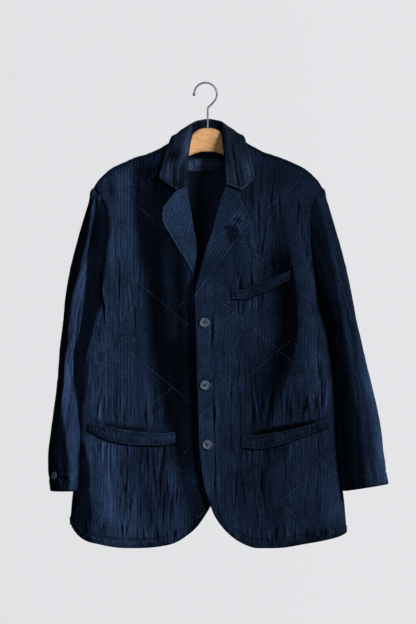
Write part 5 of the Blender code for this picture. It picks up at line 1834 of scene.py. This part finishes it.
def add_hanger():
    """The contoured wooden hanger, painted in shade towards the wearer's left and painted lighter where the
    collar's shadow falls on it.
    """
    near = np.linspace(0, HANGER_REACH, 78)
    tip = HANGER_REACH + 7 * np.sin(np.linspace(0, math.pi / 2, 12))[1:]
    stations = np.concatenate([near, tip])
    turns = np.linspace(0, 2 * math.pi, HANGER_SIDES, endpoint=False)
    upright = np.sign(np.cos(turns)) * np.abs(np.cos(turns)) ** (2 / HANGER_ROUND)
    level = np.sign(np.sin(turns)) * np.abs(np.sin(turns)) ** (2 / HANGER_ROUND)
    rings = []
    for x in np.concatenate([-stations[::-1], stations[1:]]):
        top, bottom, half, y = [smooth(HANGER, "x", key, abs(x)) for key in ("top", "bottom", "half", "y")]
        y = y - 3.5 * bell(abs(x), 26) + 1.5 * bell(abs(x) - 40, 16)
        z = (top + bottom) / 2 + (top - bottom) / 2 * upright
        rings.append(np.stack([np.full(HANGER_SIDES, STEM_X + x), y + half * level, z], -1))
    points = np.concatenate(rings) * MM
    faces = ring_faces(len(rings), HANGER_SIDES)
    wood = plain_object("hanger_wood", points, faces, finish("beech"), math.radians(50))
    across, up = points[:, 0] / MM, points[:, 2] / MM
    # painted shade, darker towards the wearer's left, and painted light where the collar casts its shadow
    tone = 1.26 - 0.24 * ramp(across, -36, 34) - 0.34 * ramp(across, STEM_X - 8, 22)
    lit = ramp(across - 16 - 0.4 * (up + 139), -3, 8) * (across < 60)
    keep_tone(wood.data, tone * (1 + 1.3 * lit))
    stand_for(wood, "hanger")


def on_arch(degrees):
    """x and z of a point of the hook's arch."""
    turn = math.radians(degrees)
    return HOOK_RADIUS * math.cos(turn), HOOK_CENTRE + HOOK_RADIUS * math.sin(turn)


def tube(points, radii, sides):
    """Points and faces of a round wire along points in the plane y = 0."""
    along = np.gradient(points, axis=0)
    along /= np.linalg.norm(along, axis=1, keepdims=True)
    level = np.tile([0.0, 1.0, 0.0], (len(points), 1))
    beside = np.cross(along, level)
    rings = []
    for turn in np.linspace(0, 2 * math.pi, sides, endpoint=False):
        rings.append(points + (beside * math.cos(turn) + level * math.sin(turn)) * radii[:, None])
    faces = ring_faces(len(points), sides)
    outward = [(a, d, c, b) for a, b, c, d in faces[:-2]] + [cap[::-1] for cap in faces[-2:]]
    return np.stack(rings, axis=1).reshape(-1, 3), outward


def add_hook():
    """The steel hook: a swollen tip, an arch and a stem that runs down into the wood."""
    points = [(*on_arch(degrees), swell) for degrees, swell in HOOK_TIP]
    points += [(*on_arch(degrees), 1.0) for degrees in range(162, -41, -13)]
    leave = on_arch(-40)
    points.append((leave[0] * 0.52 + STEM_X * 0.48, leave[1] * 0.6 + STEM_TOP * 0.4, 1.0))
    points += [(STEM_X + 0.6, STEM_TOP + 3.5, 1.0), (STEM_X, STEM_TOP - 3, 1.0), (STEM_X, STEM_BOTTOM, 1.0)]
    path = refine(np.array(points), 7)
    line = np.stack([path[:, 0], np.zeros(len(path)), path[:, 1]], -1)
    mesh_points, faces = tube(line, HOOK_WIRE * path[:, 2], 20)
    wire = plain_object("hook_wire", mesh_points * MM, faces, finish("steel_wire"), math.radians(60))
    stand_for(wire, "hook")


# ---- shader node groups ----

class Graph:
    """Adds nodes to a node tree and joins them."""

    def __init__(self, tree):
        self.tree = tree

    def add(self, kind, inputs=None, **settings):
        node = self.tree.nodes.new(kind)
        for key, value in settings.items():
            setattr(node, key, value)
        for key, value in (inputs or {}).items():
            self.join(value, node.inputs[key])
        return node

    def join(self, value, socket):
        if isinstance(value, bpy.types.NodeSocket):
            self.tree.links.new(value, socket)
        else:
            socket.default_value = value

    def maths(self, operation, *values):
        return self.add("ShaderNodeMath", dict(enumerate(values)), operation=operation).outputs[0]

    def times(self, first, second):
        return self.maths("MULTIPLY", first, second)

    def stretched(self, vector, scales):
        values = {0: vector, 1: scales}
        return self.add("ShaderNodeVectorMath", values, operation="MULTIPLY").outputs[0]

    def spread(self, value, low, high, to_low=0.0, to_high=1.0):
        """Carries a range of values over to another one, smoothly and within its ends."""
        values = {0: value, 1: low, 2: high, 3: to_low, 4: to_high}
        return self.add("ShaderNodeMapRange", values, interpolation_type="SMOOTHSTEP").outputs[0]

    def noise(self, vector, scale, detail=3.0, roughness=0.5):
        values = {"Vector": vector, "Scale": scale, "Detail": detail, "Roughness": roughness}
        return self.add("ShaderNodeTexNoise", values).outputs[0]

    def blend(self, part, first, second, kind="MIX"):
        values = {0: part}
        for key, value in ((6, first), (7, second)):
            values[key] = value if isinstance(value, bpy.types.NodeSocket) else (*value, 1)
        return self.add("ShaderNodeMix", values, data_type="RGBA", blend_type=kind).outputs[2]

    def group(self, name, vector, inputs=None):
        """The outputs of a node group laid over a vector."""
        values = {"Vector": vector, **(inputs or {})}
        return self.add("ShaderNodeGroup", values, node_tree=grouped(name)).outputs

    def place(self):
        """Place on the solid."""
        return self.add("ShaderNodeTexCoord").outputs["Object"]

    def grain(self):
        """Place on the flat cloth."""
        return self.add("ShaderNodeUVMap", uv_map="grain").outputs[0]

    def toned_by_wear_and_shade(self, colour):
        """A colour, lighter or darker by the tone that its mesh keeps: wear, and painted light and shade."""
        fade = self.add("ShaderNodeAttribute", attribute_name="fade").outputs["Fac"]
        grey = self.add("ShaderNodeCombineColor", {0: fade, 1: fade, 2: fade}).outputs[0]
        return self.blend(1.0, colour, grey, "MULTIPLY")


def new_group(name, inputs, outputs):
    """An empty node group with sockets in: (name, kind, default), and values out, by name."""
    tree = bpy.data.node_groups.new(name, "ShaderNodeTree")
    for label, kind, default in inputs:
        socket = tree.interface.new_socket(label, in_out="INPUT", socket_type=kind)
        if default is not None:
            socket.default_value = default
    for label in outputs:
        tree.interface.new_socket(label, in_out="OUTPUT", socket_type="NodeSocketFloat")
    graph = Graph(tree)
    return graph, graph.add("NodeGroupInput").outputs, graph.add("NodeGroupOutput").inputs


def grouped(name):
    """A node group by name, made at its first use."""
    return bpy.data.node_groups.get(name) or GROUPS[name](name)


def weave_group(name):
    """Plain weave: threads that pass over and under one another."""
    inputs = [
        ("Vector", "NodeSocketVector", None),
        ("Threads", "NodeSocketFloat", 1400.0),
        ("Slub", "NodeSocketFloat", 0.5),
    ]
    graph, given, out = new_group(name, inputs, ["Height", "Slub Mask"])
    place = graph.add("ShaderNodeSeparateXYZ", {0: given["Vector"]}).outputs
    uneven = graph.noise(given["Vector"], 260.0, 2.0)
    bent = graph.times(graph.maths("SUBTRACT", uneven, 0.5), 2.2)
    across = graph.maths("ADD", graph.times(place["X"], given["Threads"]), bent)
    along = graph.maths("ADD", graph.times(place["Y"], given["Threads"]), bent)
    warp = graph.maths("ABSOLUTE", graph.maths("SINE", graph.times(across, math.pi)))
    weft = graph.maths("ABSOLUTE", graph.maths("SINE", graph.times(along, math.pi)))
    over = graph.maths("SINE", graph.times(graph.maths("ADD", across, along), math.pi))
    side = graph.maths("MULTIPLY_ADD", over, 0.5, 0.5)
    height = graph.add("ShaderNodeMix", {0: side, 2: warp, 3: weft}).outputs[0]
    long = graph.stretched(given["Vector"], (900.0, 55.0, 1.0))
    slubs = graph.spread(graph.noise(long, 1.0, 2.0, 0.6), 0.52, 0.78)
    graph.join(height, out["Height"])
    graph.join(graph.times(slubs, given["Slub"]), out["Slub Mask"])
    return graph.tree


def running_stitch_group(name):
    """Masks of quilted ribs: the sunken lines between them, and the small stitches in those lines."""
    inputs = [("Vector", "NodeSocketVector", None), ("Pitch", "NodeSocketFloat", 0.0068)]
    graph, given, out = new_group(name, inputs, ["Valley", "Stitch"])
    place = graph.add("ShaderNodeSeparateXYZ", {0: given["Vector"]}).outputs
    count = graph.maths("DIVIDE", place["X"], given["Pitch"])
    away = graph.maths("ABSOLUTE", graph.maths("MULTIPLY_ADD", graph.maths("FRACT", count), 2.0, -1.0))
    down = graph.maths("DIVIDE", place["Y"], 0.0062)
    shifted = graph.maths("MULTIPLY_ADD", graph.maths("ROUND", count), 0.37, down)
    dash = graph.spread(graph.maths("PINGPONG", shifted, 0.5), 0.22, 0.34)
    thin = graph.spread(away, 0.80, 0.93)
    patchy = graph.noise(graph.stretched(given["Vector"], (150.0, 95.0, 1.0)), 1.0, 2.0)
    graph.join(graph.spread(away, 0.45, 1.0), out["Valley"])
    graph.join(graph.times(graph.times(dash, thin), graph.spread(patchy, 0.44, 0.62)), out["Stitch"])
    return graph.tree


def wear_group(name):
    """Slow changes of tone, as of patches and of washing, and fine dust."""
    inputs = [("Vector", "NodeSocketVector", None), ("Patch Size", "NodeSocketFloat", 0.06)]
    graph, given, out = new_group(name, inputs, ["Tone", "Lint"])
    slow = graph.noise(given["Vector"], graph.maths("DIVIDE", 1.0, given["Patch Size"]), 3.0, 0.6)
    streaks = graph.noise(graph.stretched(given["Vector"], (420.0, 36.0, 420.0)), 1.0, 3.0, 0.6)
    mottled = graph.noise(graph.stretched(given["Vector"], (360.0, 240.0, 360.0)), 1.0, 4.0, 0.7)
    tone = graph.maths("MULTIPLY_ADD", streaks, 0.25, graph.times(slow, 0.3))
    tone = graph.maths("MULTIPLY_ADD", mottled, 0.65, tone)
    fine = graph.noise(given["Vector"], 560.0, 1.0, 0.6)
    graph.join(graph.maths("SUBTRACT", tone, 0.1), out["Tone"])
    graph.join(graph.spread(fine, 0.67, 0.74), out["Lint"])
    return graph.tree


def grain_group(name):
    """Long wood grain with pores, running along x."""
    inputs = [("Vector", "NodeSocketVector", None), ("Scale", "NodeSocketFloat", 1.0)]
    graph, given, out = new_group(name, inputs, ["Grain", "Pores"])
    values = {0: given["Vector"], "Scale": given["Scale"]}
    scaled = graph.add("ShaderNodeVectorMath", values, operation="SCALE").outputs[0]
    warped = graph.noise(graph.stretched(scaled, (9.0, 95.0, 95.0)), 1.0, 4.0, 0.55)
    rings = graph.maths("SINE", graph.times(warped, 34.0))
    dots = graph.noise(graph.stretched(scaled, (170.0, 1300.0, 1300.0)), 1.0, 2.0)
    graph.join(graph.maths("MULTIPLY_ADD", rings, 0.5, 0.5), out["Grain"])
    graph.join(graph.spread(dots, 0.6, 0.72), out["Pores"])
    return graph.tree


GROUPS = {
    "plain_weave": weave_group,
    "running_stitch": running_stitch_group,
    "wear": wear_group,
    "wood_grain": grain_group,
}


# ---- materials ----

def surface(name, roughness, specular=0.5, metallic=0.0):
    """A new material, its graph and its shader's inputs."""
    made = bpy.data.materials.new(name)
    made.use_nodes = True
    shader = made.node_tree.nodes["Principled BSDF"]
    shader.inputs["Roughness"].default_value = roughness
    shader.inputs["Specular IOR Level"].default_value = specular
    shader.inputs["Metallic"].default_value = metallic
    return made, Graph(made.node_tree), shader.inputs


def darker(colour, part):
    """A colour with a part of its light."""
    return [value * part for value in colour]


def colours():
    """The colours in the settings."""
    return bpy.context.scene.jacket_colours


def bump(graph, shader, height, distance, strength=1.0):
    """Small relief in a material's surface."""
    values = {"Height": height, "Distance": distance, "Strength": strength}
    graph.join(graph.add("ShaderNodeBump", values).outputs[0], shader["Normal"])


def cloth_material(name, dark, light, ribbed):
    """Indigo cotton. A ribbed one has quilting lines with small stitches in them."""
    made, graph, shader = surface(name, 0.88, 0.004)
    grain = graph.grain()
    weave, wear = graph.group("plain_weave", grain), graph.group("wear", grain)
    colour = graph.blend(graph.spread(wear["Tone"], 0.28, 0.74), dark, light)
    colour = graph.blend(graph.times(weave["Slub Mask"], 0.30), colour, (0.040, 0.066, 0.115))
    height = weave["Height"]
    if ribbed:
        lines = graph.group("running_stitch", grain)
        # the lines between ribs are darker: painted shade in the valleys, and less wear there
        depth = graph.times(lines["Valley"], graph.spread(wear["Tone"], 0.25, 0.75, 0.15, 0.75))
        colour = graph.blend(depth, colour, darker(dark, 0.35))
        colour = graph.blend(graph.times(lines["Stitch"], 0.6), colour, (0.060, 0.095, 0.160))
        height = graph.maths("MULTIPLY_ADD", lines["Stitch"], 2.0, height)
    colour = graph.blend(graph.times(wear["Lint"], 0.5), colour, (0.09, 0.12, 0.17))
    graph.join(graph.toned_by_wear_and_shade(colour), shader["Base Color"])
    graph.join(graph.spread(height, 0.0, 1.0, 0.93, 0.82), shader["Roughness"])
    bump(graph, shader, height, 0.00018, 0.8)
    return made


def thread_material(name, colour):
    """Twisted cotton thread."""
    made, graph, shader = surface(name, 0.8, 0.1)
    place = graph.place()
    twist = {"Vector": place, "Scale": 900.0, "Distortion": 2.0}
    twist = graph.add("ShaderNodeTexWave", twist).outputs["Fac"]
    tone = graph.spread(graph.group("wear", place)["Tone"], 0.25, 0.75)
    shade = graph.blend(tone, darker(colour, 0.55), colour)
    shade = graph.blend(graph.times(twist, 0.3), shade, darker(colour, 0.4))
    graph.join(shade, shader["Base Color"])
    bump(graph, shader, twist, 0.0001)
    return made


def button_material(name):
    """Smoky blue-grey casein with soft clouds and a light polish."""
    made, graph, shader = surface(name, 0.42, 0.22)
    place = graph.place()
    wear = graph.group("wear", place, {"Patch Size": 0.012})
    clouds = graph.noise(place, 160.0, 5.0, 0.6)
    colour = graph.blend(graph.spread(clouds, 0.35, 0.68), colours().button_dark, colours().button_light)
    colour = graph.blend(graph.times(wear["Lint"], 0.15), colour, (0.3, 0.34, 0.38))
    graph.join(graph.toned_by_wear_and_shade(colour), shader["Base Color"])
    graph.join(graph.spread(clouds, 0.2, 0.8, 0.34, 0.52), shader["Roughness"])
    bump(graph, shader, clouds, 0.0001, 0.4)
    return made


def beech_material(name):
    """Pale beech under a satin clear coat."""
    made, graph, shader = surface(name, 0.7, 0.05)
    grain = graph.group("wood_grain", graph.place())
    colour = graph.blend(grain["Grain"], colours().wood_dark, colours().wood_light)
    colour = graph.blend(graph.times(grain["Pores"], 0.25), colour, (0.22, 0.105, 0.045))
    graph.join(graph.toned_by_wear_and_shade(colour), shader["Base Color"])
    graph.join(graph.spread(grain["Grain"], 0.0, 1.0, 0.74, 0.66), shader["Roughness"])
    shader["Coat Weight"].default_value = 0.03
    shader["Coat Roughness"].default_value = 0.28
    bump(graph, shader, graph.maths("SUBTRACT", grain["Grain"], grain["Pores"]), 0.00008, 0.6)
    return made


def steel_material(name):
    """Drawn and plated steel wire, lightly brushed along its length."""
    made, graph, shader = surface(name, 0.4, 0.5, 1.0)
    place = graph.place()
    fine = graph.noise(graph.stretched(place, (420.0, 420.0, 120.0)), 1.0, 3.0, 0.5)
    colour = graph.blend(fine, colours().steel_dark, colours().steel_light)
    lint = graph.times(graph.group("wear", place)["Lint"], 0.1)
    graph.join(graph.blend(lint, colour, (0.16, 0.17, 0.19)), shader["Base Color"])
    graph.join(graph.spread(fine, 0.2, 0.8, 0.36, 0.48), shader["Roughness"])
    bump(graph, shader, fine, 0.00001, 0.3)
    return made


def label_material(name):
    """A bare woven tape in indigo satin."""
    made, graph, shader = surface(name, 0.85, 0.03)
    weave = graph.group("plain_weave", graph.grain(), {"Threads": 2400.0})
    colour = graph.blend(weave["Height"], (0.040, 0.066, 0.124), (0.080, 0.132, 0.240))
    graph.join(graph.toned_by_wear_and_shade(colour), shader["Base Color"])
    bump(graph, shader, weave["Height"], 0.0001, 0.7)
    return made


FINISHES = {
    "indigo_quilt": lambda name: cloth_material(name, colours().cloth_dark, colours().cloth_light, True),
    "indigo_lining": lambda name: cloth_material(name, colours().lining_dark, colours().lining_light, False),
    "label_tape": label_material,
    "pale_thread": lambda name: thread_material(name, colours().lattice_thread),
    "dark_thread": lambda name: thread_material(name, colours().button_thread),
    "blue_thread": lambda name: thread_material(name, colours().edge_thread),
    "smoky_button": button_material,
    "beech": beech_material,
    "steel_wire": steel_material,
}


def finish(name):
    """A material by name, made at its first use."""
    return bpy.data.materials.get(name) or FINISHES[name](name)


def cloth_slots():
    """The outer cloth, and the inner one that shows on a sheet's inside."""
    return [finish("indigo_quilt"), finish("indigo_lining")]


# ---- stage ----

def add_light(name, place, size, power, colour):
    """A round light that faces the middle of the jacket."""
    light = bpy.data.lights.new(name, "AREA")
    light.shape = "DISK"
    light.size = size
    light.energy = power
    light.color = colour
    made = link(name, light)
    made.location = place
    made.rotation_euler = (Vector(JACKET_MIDDLE) - Vector(place)).to_track_quat("-Z", "Y").to_euler()


def backdrop():
    """A pale sky for the camera and for reflections, and a dimmer one that lights the cloth."""
    world = bpy.data.worlds.new("studio")
    bpy.context.scene.world = world
    world.use_nodes = True
    graph = Graph(world.node_tree)
    world.node_tree.nodes.clear()
    way = graph.add("ShaderNodeTexCoord").outputs["Generated"]
    across = graph.add("ShaderNodeSeparateXYZ", {0: way}).outputs["X"]
    seen = graph.blend(graph.spread(across, -0.11, 0.11), (0.745, 0.745, 0.770), (0.800, 0.805, 0.826))
    shown = graph.add("ShaderNodeBackground", {"Color": seen, "Strength": 1.0}).outputs[0]
    fill = graph.add("ShaderNodeBackground", {"Color": (0.80, 0.85, 0.92, 1), "Strength": 0.14}).outputs[0]
    rays = graph.add("ShaderNodeLightPath").outputs
    mirrored = graph.maths("MAXIMUM", rays["Is Glossy Ray"], rays["Is Transmission Ray"])
    seen_by = graph.maths("MAXIMUM", rays["Is Camera Ray"], mirrored)
    mixed = graph.add("ShaderNodeMixShader", {0: seen_by, 1: fill, 2: shown}).outputs[0]
    graph.join(mixed, graph.add("ShaderNodeOutputWorld").inputs["Surface"])


def add_floor():
    """A pale floor well below the hem, which keeps the jacket's soft shadow."""
    points, _ = turned([(FLOOR_RADIUS, FLOOR_HEIGHT)], FLOOR_SIDES)
    pale, graph, shader = surface("pale_floor", 0.95, 0.1)
    shader["Base Color"].default_value = (0.78, 0.78, 0.80, 1)
    lit = graph.add("ShaderNodeEmission", {"Color": (0.77, 0.77, 0.79, 1), "Strength": 1.0}).outputs[0]
    part = graph.times(graph.add("ShaderNodeLightPath").outputs["Is Camera Ray"], 0.6)
    nodes = pale.node_tree.nodes
    lamps = nodes["Principled BSDF"].outputs[0]
    mixed = graph.add("ShaderNodeMixShader", {0: part, 1: lamps, 2: lit}).outputs[0]
    graph.join(mixed, nodes["Material Output"].inputs["Surface"])
    mesh = bpy.data.meshes.new("floor")
    mesh.from_pydata(points.tolist(), [], [tuple(range(FLOOR_SIDES))])
    mesh.materials.append(pale)
    link("floor", mesh)


def add_camera():
    """A long lens, level with the middle of the jacket."""
    camera = bpy.data.cameras.new("camera")
    camera.sensor_width = SENSOR
    camera.lens = SENSOR * CAMERA_AWAY / VIEW_TALL
    camera.clip_end = 50.0
    made = link("camera", camera)
    made.location = CAMERA_PLACE
    made.rotation_euler = (math.radians(90), 0, 0)
    bpy.context.scene.camera = made


# ---- settings, operators and panel ----

class ClothSettings(bpy.types.PropertyGroup):
    """Sizes of the quilted cloth"""

    rib_pitch: FloatProperty(
        name="Rib pitch", description="Distance between two quilting lines",
        default=0.0068, min=0.004, max=0.012, unit="LENGTH", subtype="DISTANCE",
    )
    rib_height: FloatProperty(
        name="Rib height", description="How far a rib stands above its lines",
        default=0.0010, min=0.0, max=0.002, unit="LENGTH", subtype="DISTANCE",
    )
    thickness: FloatProperty(
        name="Thickness", description="Thickness of a panel's cloth",
        default=0.0017, min=0.001, max=0.003, unit="LENGTH", subtype="DISTANCE",
    )


class StitchSettings(bpy.types.PropertyGroup):
    """Sizes of the lattice's stitches"""

    length: FloatProperty(
        name="Length", description="Length of a lattice stitch",
        default=0.0030, min=0.002, max=0.01, unit="LENGTH", subtype="DISTANCE",
    )
    gap: FloatProperty(
        name="Gap", description="Gap between two lattice stitches",
        default=0.0035, min=0.001, max=0.01, unit="LENGTH", subtype="DISTANCE",
    )
    width: FloatProperty(
        name="Width", description="Width of a lattice stitch",
        default=0.0007, min=0.0005, max=0.002, unit="LENGTH", subtype="DISTANCE",
    )


class ColourSettings(bpy.types.PropertyGroup):
    """Colours of the cloth, the threads, the buttons, the hanger and the hook"""

    cloth_dark: FloatVectorProperty(
        name="Cloth, dark", description="Outer cloth where it has hardly been washed out",
        default=(0.0035, 0.0065, 0.0150), min=0.0, max=1.0, size=3, subtype="COLOR",
    )
    cloth_light: FloatVectorProperty(
        name="Cloth, light", description="Outer cloth where it has been washed out",
        default=(0.0205, 0.0420, 0.1000), min=0.0, max=1.0, size=3, subtype="COLOR",
    )
    lining_dark: FloatVectorProperty(
        name="Lining, dark", description="Inner cloth at its darkest",
        default=(0.0090, 0.0145, 0.0290), min=0.0, max=1.0, size=3, subtype="COLOR",
    )
    lining_light: FloatVectorProperty(
        name="Lining, light", description="Inner cloth at its lightest",
        default=(0.0300, 0.0540, 0.1120), min=0.0, max=1.0, size=3, subtype="COLOR",
    )
    lattice_thread: FloatVectorProperty(
        name="Lattice thread", description="Thread of the slanting lattice and of the buttonholes",
        default=(0.066, 0.094, 0.140), min=0.0, max=1.0, size=3, subtype="COLOR",
    )
    edge_thread: FloatVectorProperty(
        name="Edge thread", description="Thread of the topstitching along edges and hems",
        default=(0.026, 0.043, 0.076), min=0.0, max=1.0, size=3, subtype="COLOR",
    )
    button_thread: FloatVectorProperty(
        name="Button thread", description="Thread that holds the buttons",
        default=(0.010, 0.015, 0.030), min=0.0, max=1.0, size=3, subtype="COLOR",
    )
    button_dark: FloatVectorProperty(
        name="Button, dark", description="Darker clouds of the buttons",
        default=(0.020, 0.032, 0.052), min=0.0, max=1.0, size=3, subtype="COLOR",
    )
    button_light: FloatVectorProperty(
        name="Button, light", description="Lighter clouds of the buttons",
        default=(0.070, 0.095, 0.135), min=0.0, max=1.0, size=3, subtype="COLOR",
    )
    wood_dark: FloatVectorProperty(
        name="Wood, dark", description="Darker grain of the hanger",
        default=(0.36, 0.192, 0.086), min=0.0, max=1.0, size=3, subtype="COLOR",
    )
    wood_light: FloatVectorProperty(
        name="Wood, light", description="Lighter grain of the hanger",
        default=(0.43, 0.238, 0.112), min=0.0, max=1.0, size=3, subtype="COLOR",
    )
    steel_dark: FloatVectorProperty(
        name="Steel, dark", description="Darker streaks of the hook",
        default=(0.072, 0.084, 0.104), min=0.0, max=1.0, size=3, subtype="COLOR",
    )
    steel_light: FloatVectorProperty(
        name="Steel, light", description="Lighter streaks of the hook",
        default=(0.108, 0.120, 0.142), min=0.0, max=1.0, size=3, subtype="COLOR",
    )


class StageSettings(bpy.types.PropertyGroup):
    """Powers of the lights"""

    key_power: FloatProperty(
        name="Key light", description="Power of the key light",
        default=225.0, min=0.0, max=500.0, unit="POWER", subtype="POWER",
    )
    back_power: FloatProperty(
        name="Back light", description="Power of the light behind the jacket",
        default=26.0, min=0.0, max=300.0, unit="POWER", subtype="POWER",
    )
    fill_power: FloatProperty(
        name="Fill light", description="Power of the fill light",
        default=16.0, min=0.0, max=200.0, unit="POWER", subtype="POWER",
    )


class JACKET_OT_fronts(bpy.types.Operator):
    """Builds the two fronts"""

    bl_idname = "jacket.fronts"
    bl_label = "Fronts"

    def execute(self, context):
        for word in FRONTS:
            add_front(context.scene.jacket_cloth, word)
        return {"FINISHED"}


class JACKET_OT_back(bpy.types.Operator):
    """Builds the back"""

    bl_idname = "jacket.back"
    bl_label = "Back"

    def execute(self, context):
        add_back(context.scene.jacket_cloth)
        return {"FINISHED"}


class JACKET_OT_sleeves(bpy.types.Operator):
    """Builds the two-piece sleeves"""

    bl_idname = "jacket.sleeves"
    bl_label = "Sleeves"

    def execute(self, context):
        for word in SLEEVES:
            build_sleeve(context.scene.jacket_cloth, context.scene.jacket_stitch, word)
        return {"FINISHED"}


class JACKET_OT_collar(bpy.types.Operator):
    """Builds the collar, its stand and the lapels"""

    bl_idname = "jacket.collar"
    bl_label = "Collar and lapels"

    def execute(self, context):
        cloth, stitch = context.scene.jacket_cloth, context.scene.jacket_stitch
        add_stand()
        add_collar(cloth, stitch)
        for word in LAPELS:
            add_lapel(cloth, stitch, word)
        return {"FINISHED"}


class JACKET_OT_neck(bpy.types.Operator):
    """Builds the facing and the bare label inside the back neck"""

    bl_idname = "jacket.neck"
    bl_label = "Neck facing and label"

    def execute(self, context):
        facing = (FACING_HALF, BACK_FACING_TOP, BACK_FACING_TOP - FACING_DEPTH)
        label = (LABEL_HALF, LABEL_TOP, LABEL_BOTTOM)
        # the last number is each piece's tone; the facing's is raised, painted light where the hanger's
        # shadow falls on it
        add_inside("neck_facing_cloth", "neck_facing", "inner_cloth", "indigo_lining", *facing, 3.6, 1.0, 1.9)
        add_inside("neck_label_tape", "neck_label", "label", "label_tape", *label, 5.4, 0.8, 0.9)
        return {"FINISHED"}


class JACKET_OT_pockets(bpy.types.Operator):
    """Builds the three pocket welts"""

    bl_idname = "jacket.pockets"
    bl_label = "Pocket welts"

    def execute(self, context):
        for name in WELTS:
            add_welt(context.scene.jacket_stitch, name)
        return {"FINISHED"}


class JACKET_OT_buttons(bpy.types.Operator):
    """Builds the buttons and their threads"""

    bl_idname = "jacket.buttons"
    bl_label = "Buttons"

    def execute(self, context):
        for number in (1, 2, 3):
            node = f"front_button_{number}"
            add_button(node, FRONT_BUTTON_RADIUS, seat(node, (0, -1, 0)), number)
        # the right cuff button's gain paints it darker than the other buttons, as shade
        for word, seed, gain in (("left", 4, 1.0), ("right", 5, 0.45)):
            spot, axis = cuff_seat(word)
            middle = (spot + axis * (BUTTON_THICK / 2 - CUFF_DENT + 0.4)) * MM
            add_button(f"cuff_button_{word}", CUFF_BUTTON_RADIUS, (middle, axis), seed, gain)
        return {"FINISHED"}


class JACKET_OT_stitching(bpy.types.Operator):
    """Sews the slanting lattice over the fronts, the hems and the buttonholes"""

    bl_idname = "jacket.stitching"
    bl_label = "Stitching"

    def execute(self, context):
        stitch = context.scene.jacket_stitch
        for word in LATTICE_THROUGH:
            add_lattice(stitch, word)
        stitch_body_edges(stitch)
        add_buttonholes()
        return {"FINISHED"}


class JACKET_OT_hanger(bpy.types.Operator):
    """Builds the wooden hanger and its steel hook"""

    bl_idname = "jacket.hanger"
    bl_label = "Hanger and hook"

    def execute(self, context):
        add_hanger()
        add_hook()
        return {"FINISHED"}


class JACKET_OT_stage(bpy.types.Operator):
    """Sets up the camera, the lights, the backdrop and the floor"""

    bl_idname = "jacket.stage"
    bl_label = "Stage"

    def execute(self, context):
        stage = context.scene.jacket_stage
        context.scene.view_settings.view_transform = "Standard"
        backdrop()
        add_floor()
        add_camera()
        add_light("key", (1.65, -2.95, 0.75), 0.9, stage.key_power, (1.0, 0.98, 0.95))
        add_light("back", (0.5, 3.3, -0.45), 1.2, stage.back_power, (0.94, 0.96, 1.0))
        add_light("fill", (-0.7, -3.4, 0.9), 1.6, stage.fill_power, (0.92, 0.95, 1.0))
        return {"FINISHED"}


GROUP_OPERATORS = [
    JACKET_OT_fronts,
    JACKET_OT_back,
    JACKET_OT_sleeves,
    JACKET_OT_collar,
    JACKET_OT_neck,
    JACKET_OT_pockets,
    JACKET_OT_buttons,
    JACKET_OT_stitching,
    JACKET_OT_hanger,
    JACKET_OT_stage,
]

SETTINGS = {
    "jacket_cloth": ClothSettings,
    "jacket_stitch": StitchSettings,
    "jacket_colours": ColourSettings,
    "jacket_stage": StageSettings,
}


class JACKET_PT_sidebar(bpy.types.Panel):
    """Settings of the jacket and a button for each group of pieces"""

    bl_idname = "JACKET_PT_sidebar"
    bl_label = "Boro jacket"
    bl_space_type = "VIEW_3D"
    bl_region_type = "UI"
    bl_category = "Jacket"

    def draw(self, context):
        layout = self.layout
        for group in SETTINGS:
            settings = getattr(context.scene, group)
            box = layout.box()
            for key in settings.bl_rna.properties.keys():
                if key not in ("rna_type", "name"):
                    box.prop(settings, key)
        for operator in GROUP_OPERATORS:
            layout.operator(operator.bl_idname)


def register():
    for kind in [*SETTINGS.values(), *GROUP_OPERATORS, JACKET_PT_sidebar]:
        bpy.utils.register_class(kind)
    for name, kind in SETTINGS.items():
        setattr(bpy.types.Scene, name, PointerProperty(type=kind))


def unregister():
    for name in SETTINGS:
        delattr(bpy.types.Scene, name)
    for kind in [JACKET_PT_sidebar, *reversed(GROUP_OPERATORS), *reversed(SETTINGS.values())]:
        bpy.utils.unregister_class(kind)


def main():
    register()
    for operator in GROUP_OPERATORS:
        group, action = operator.bl_idname.split(".")
        getattr(getattr(bpy.ops, group), action)()
    bpy.context.view_layer.update()


if __name__ == "__main__":
    main()
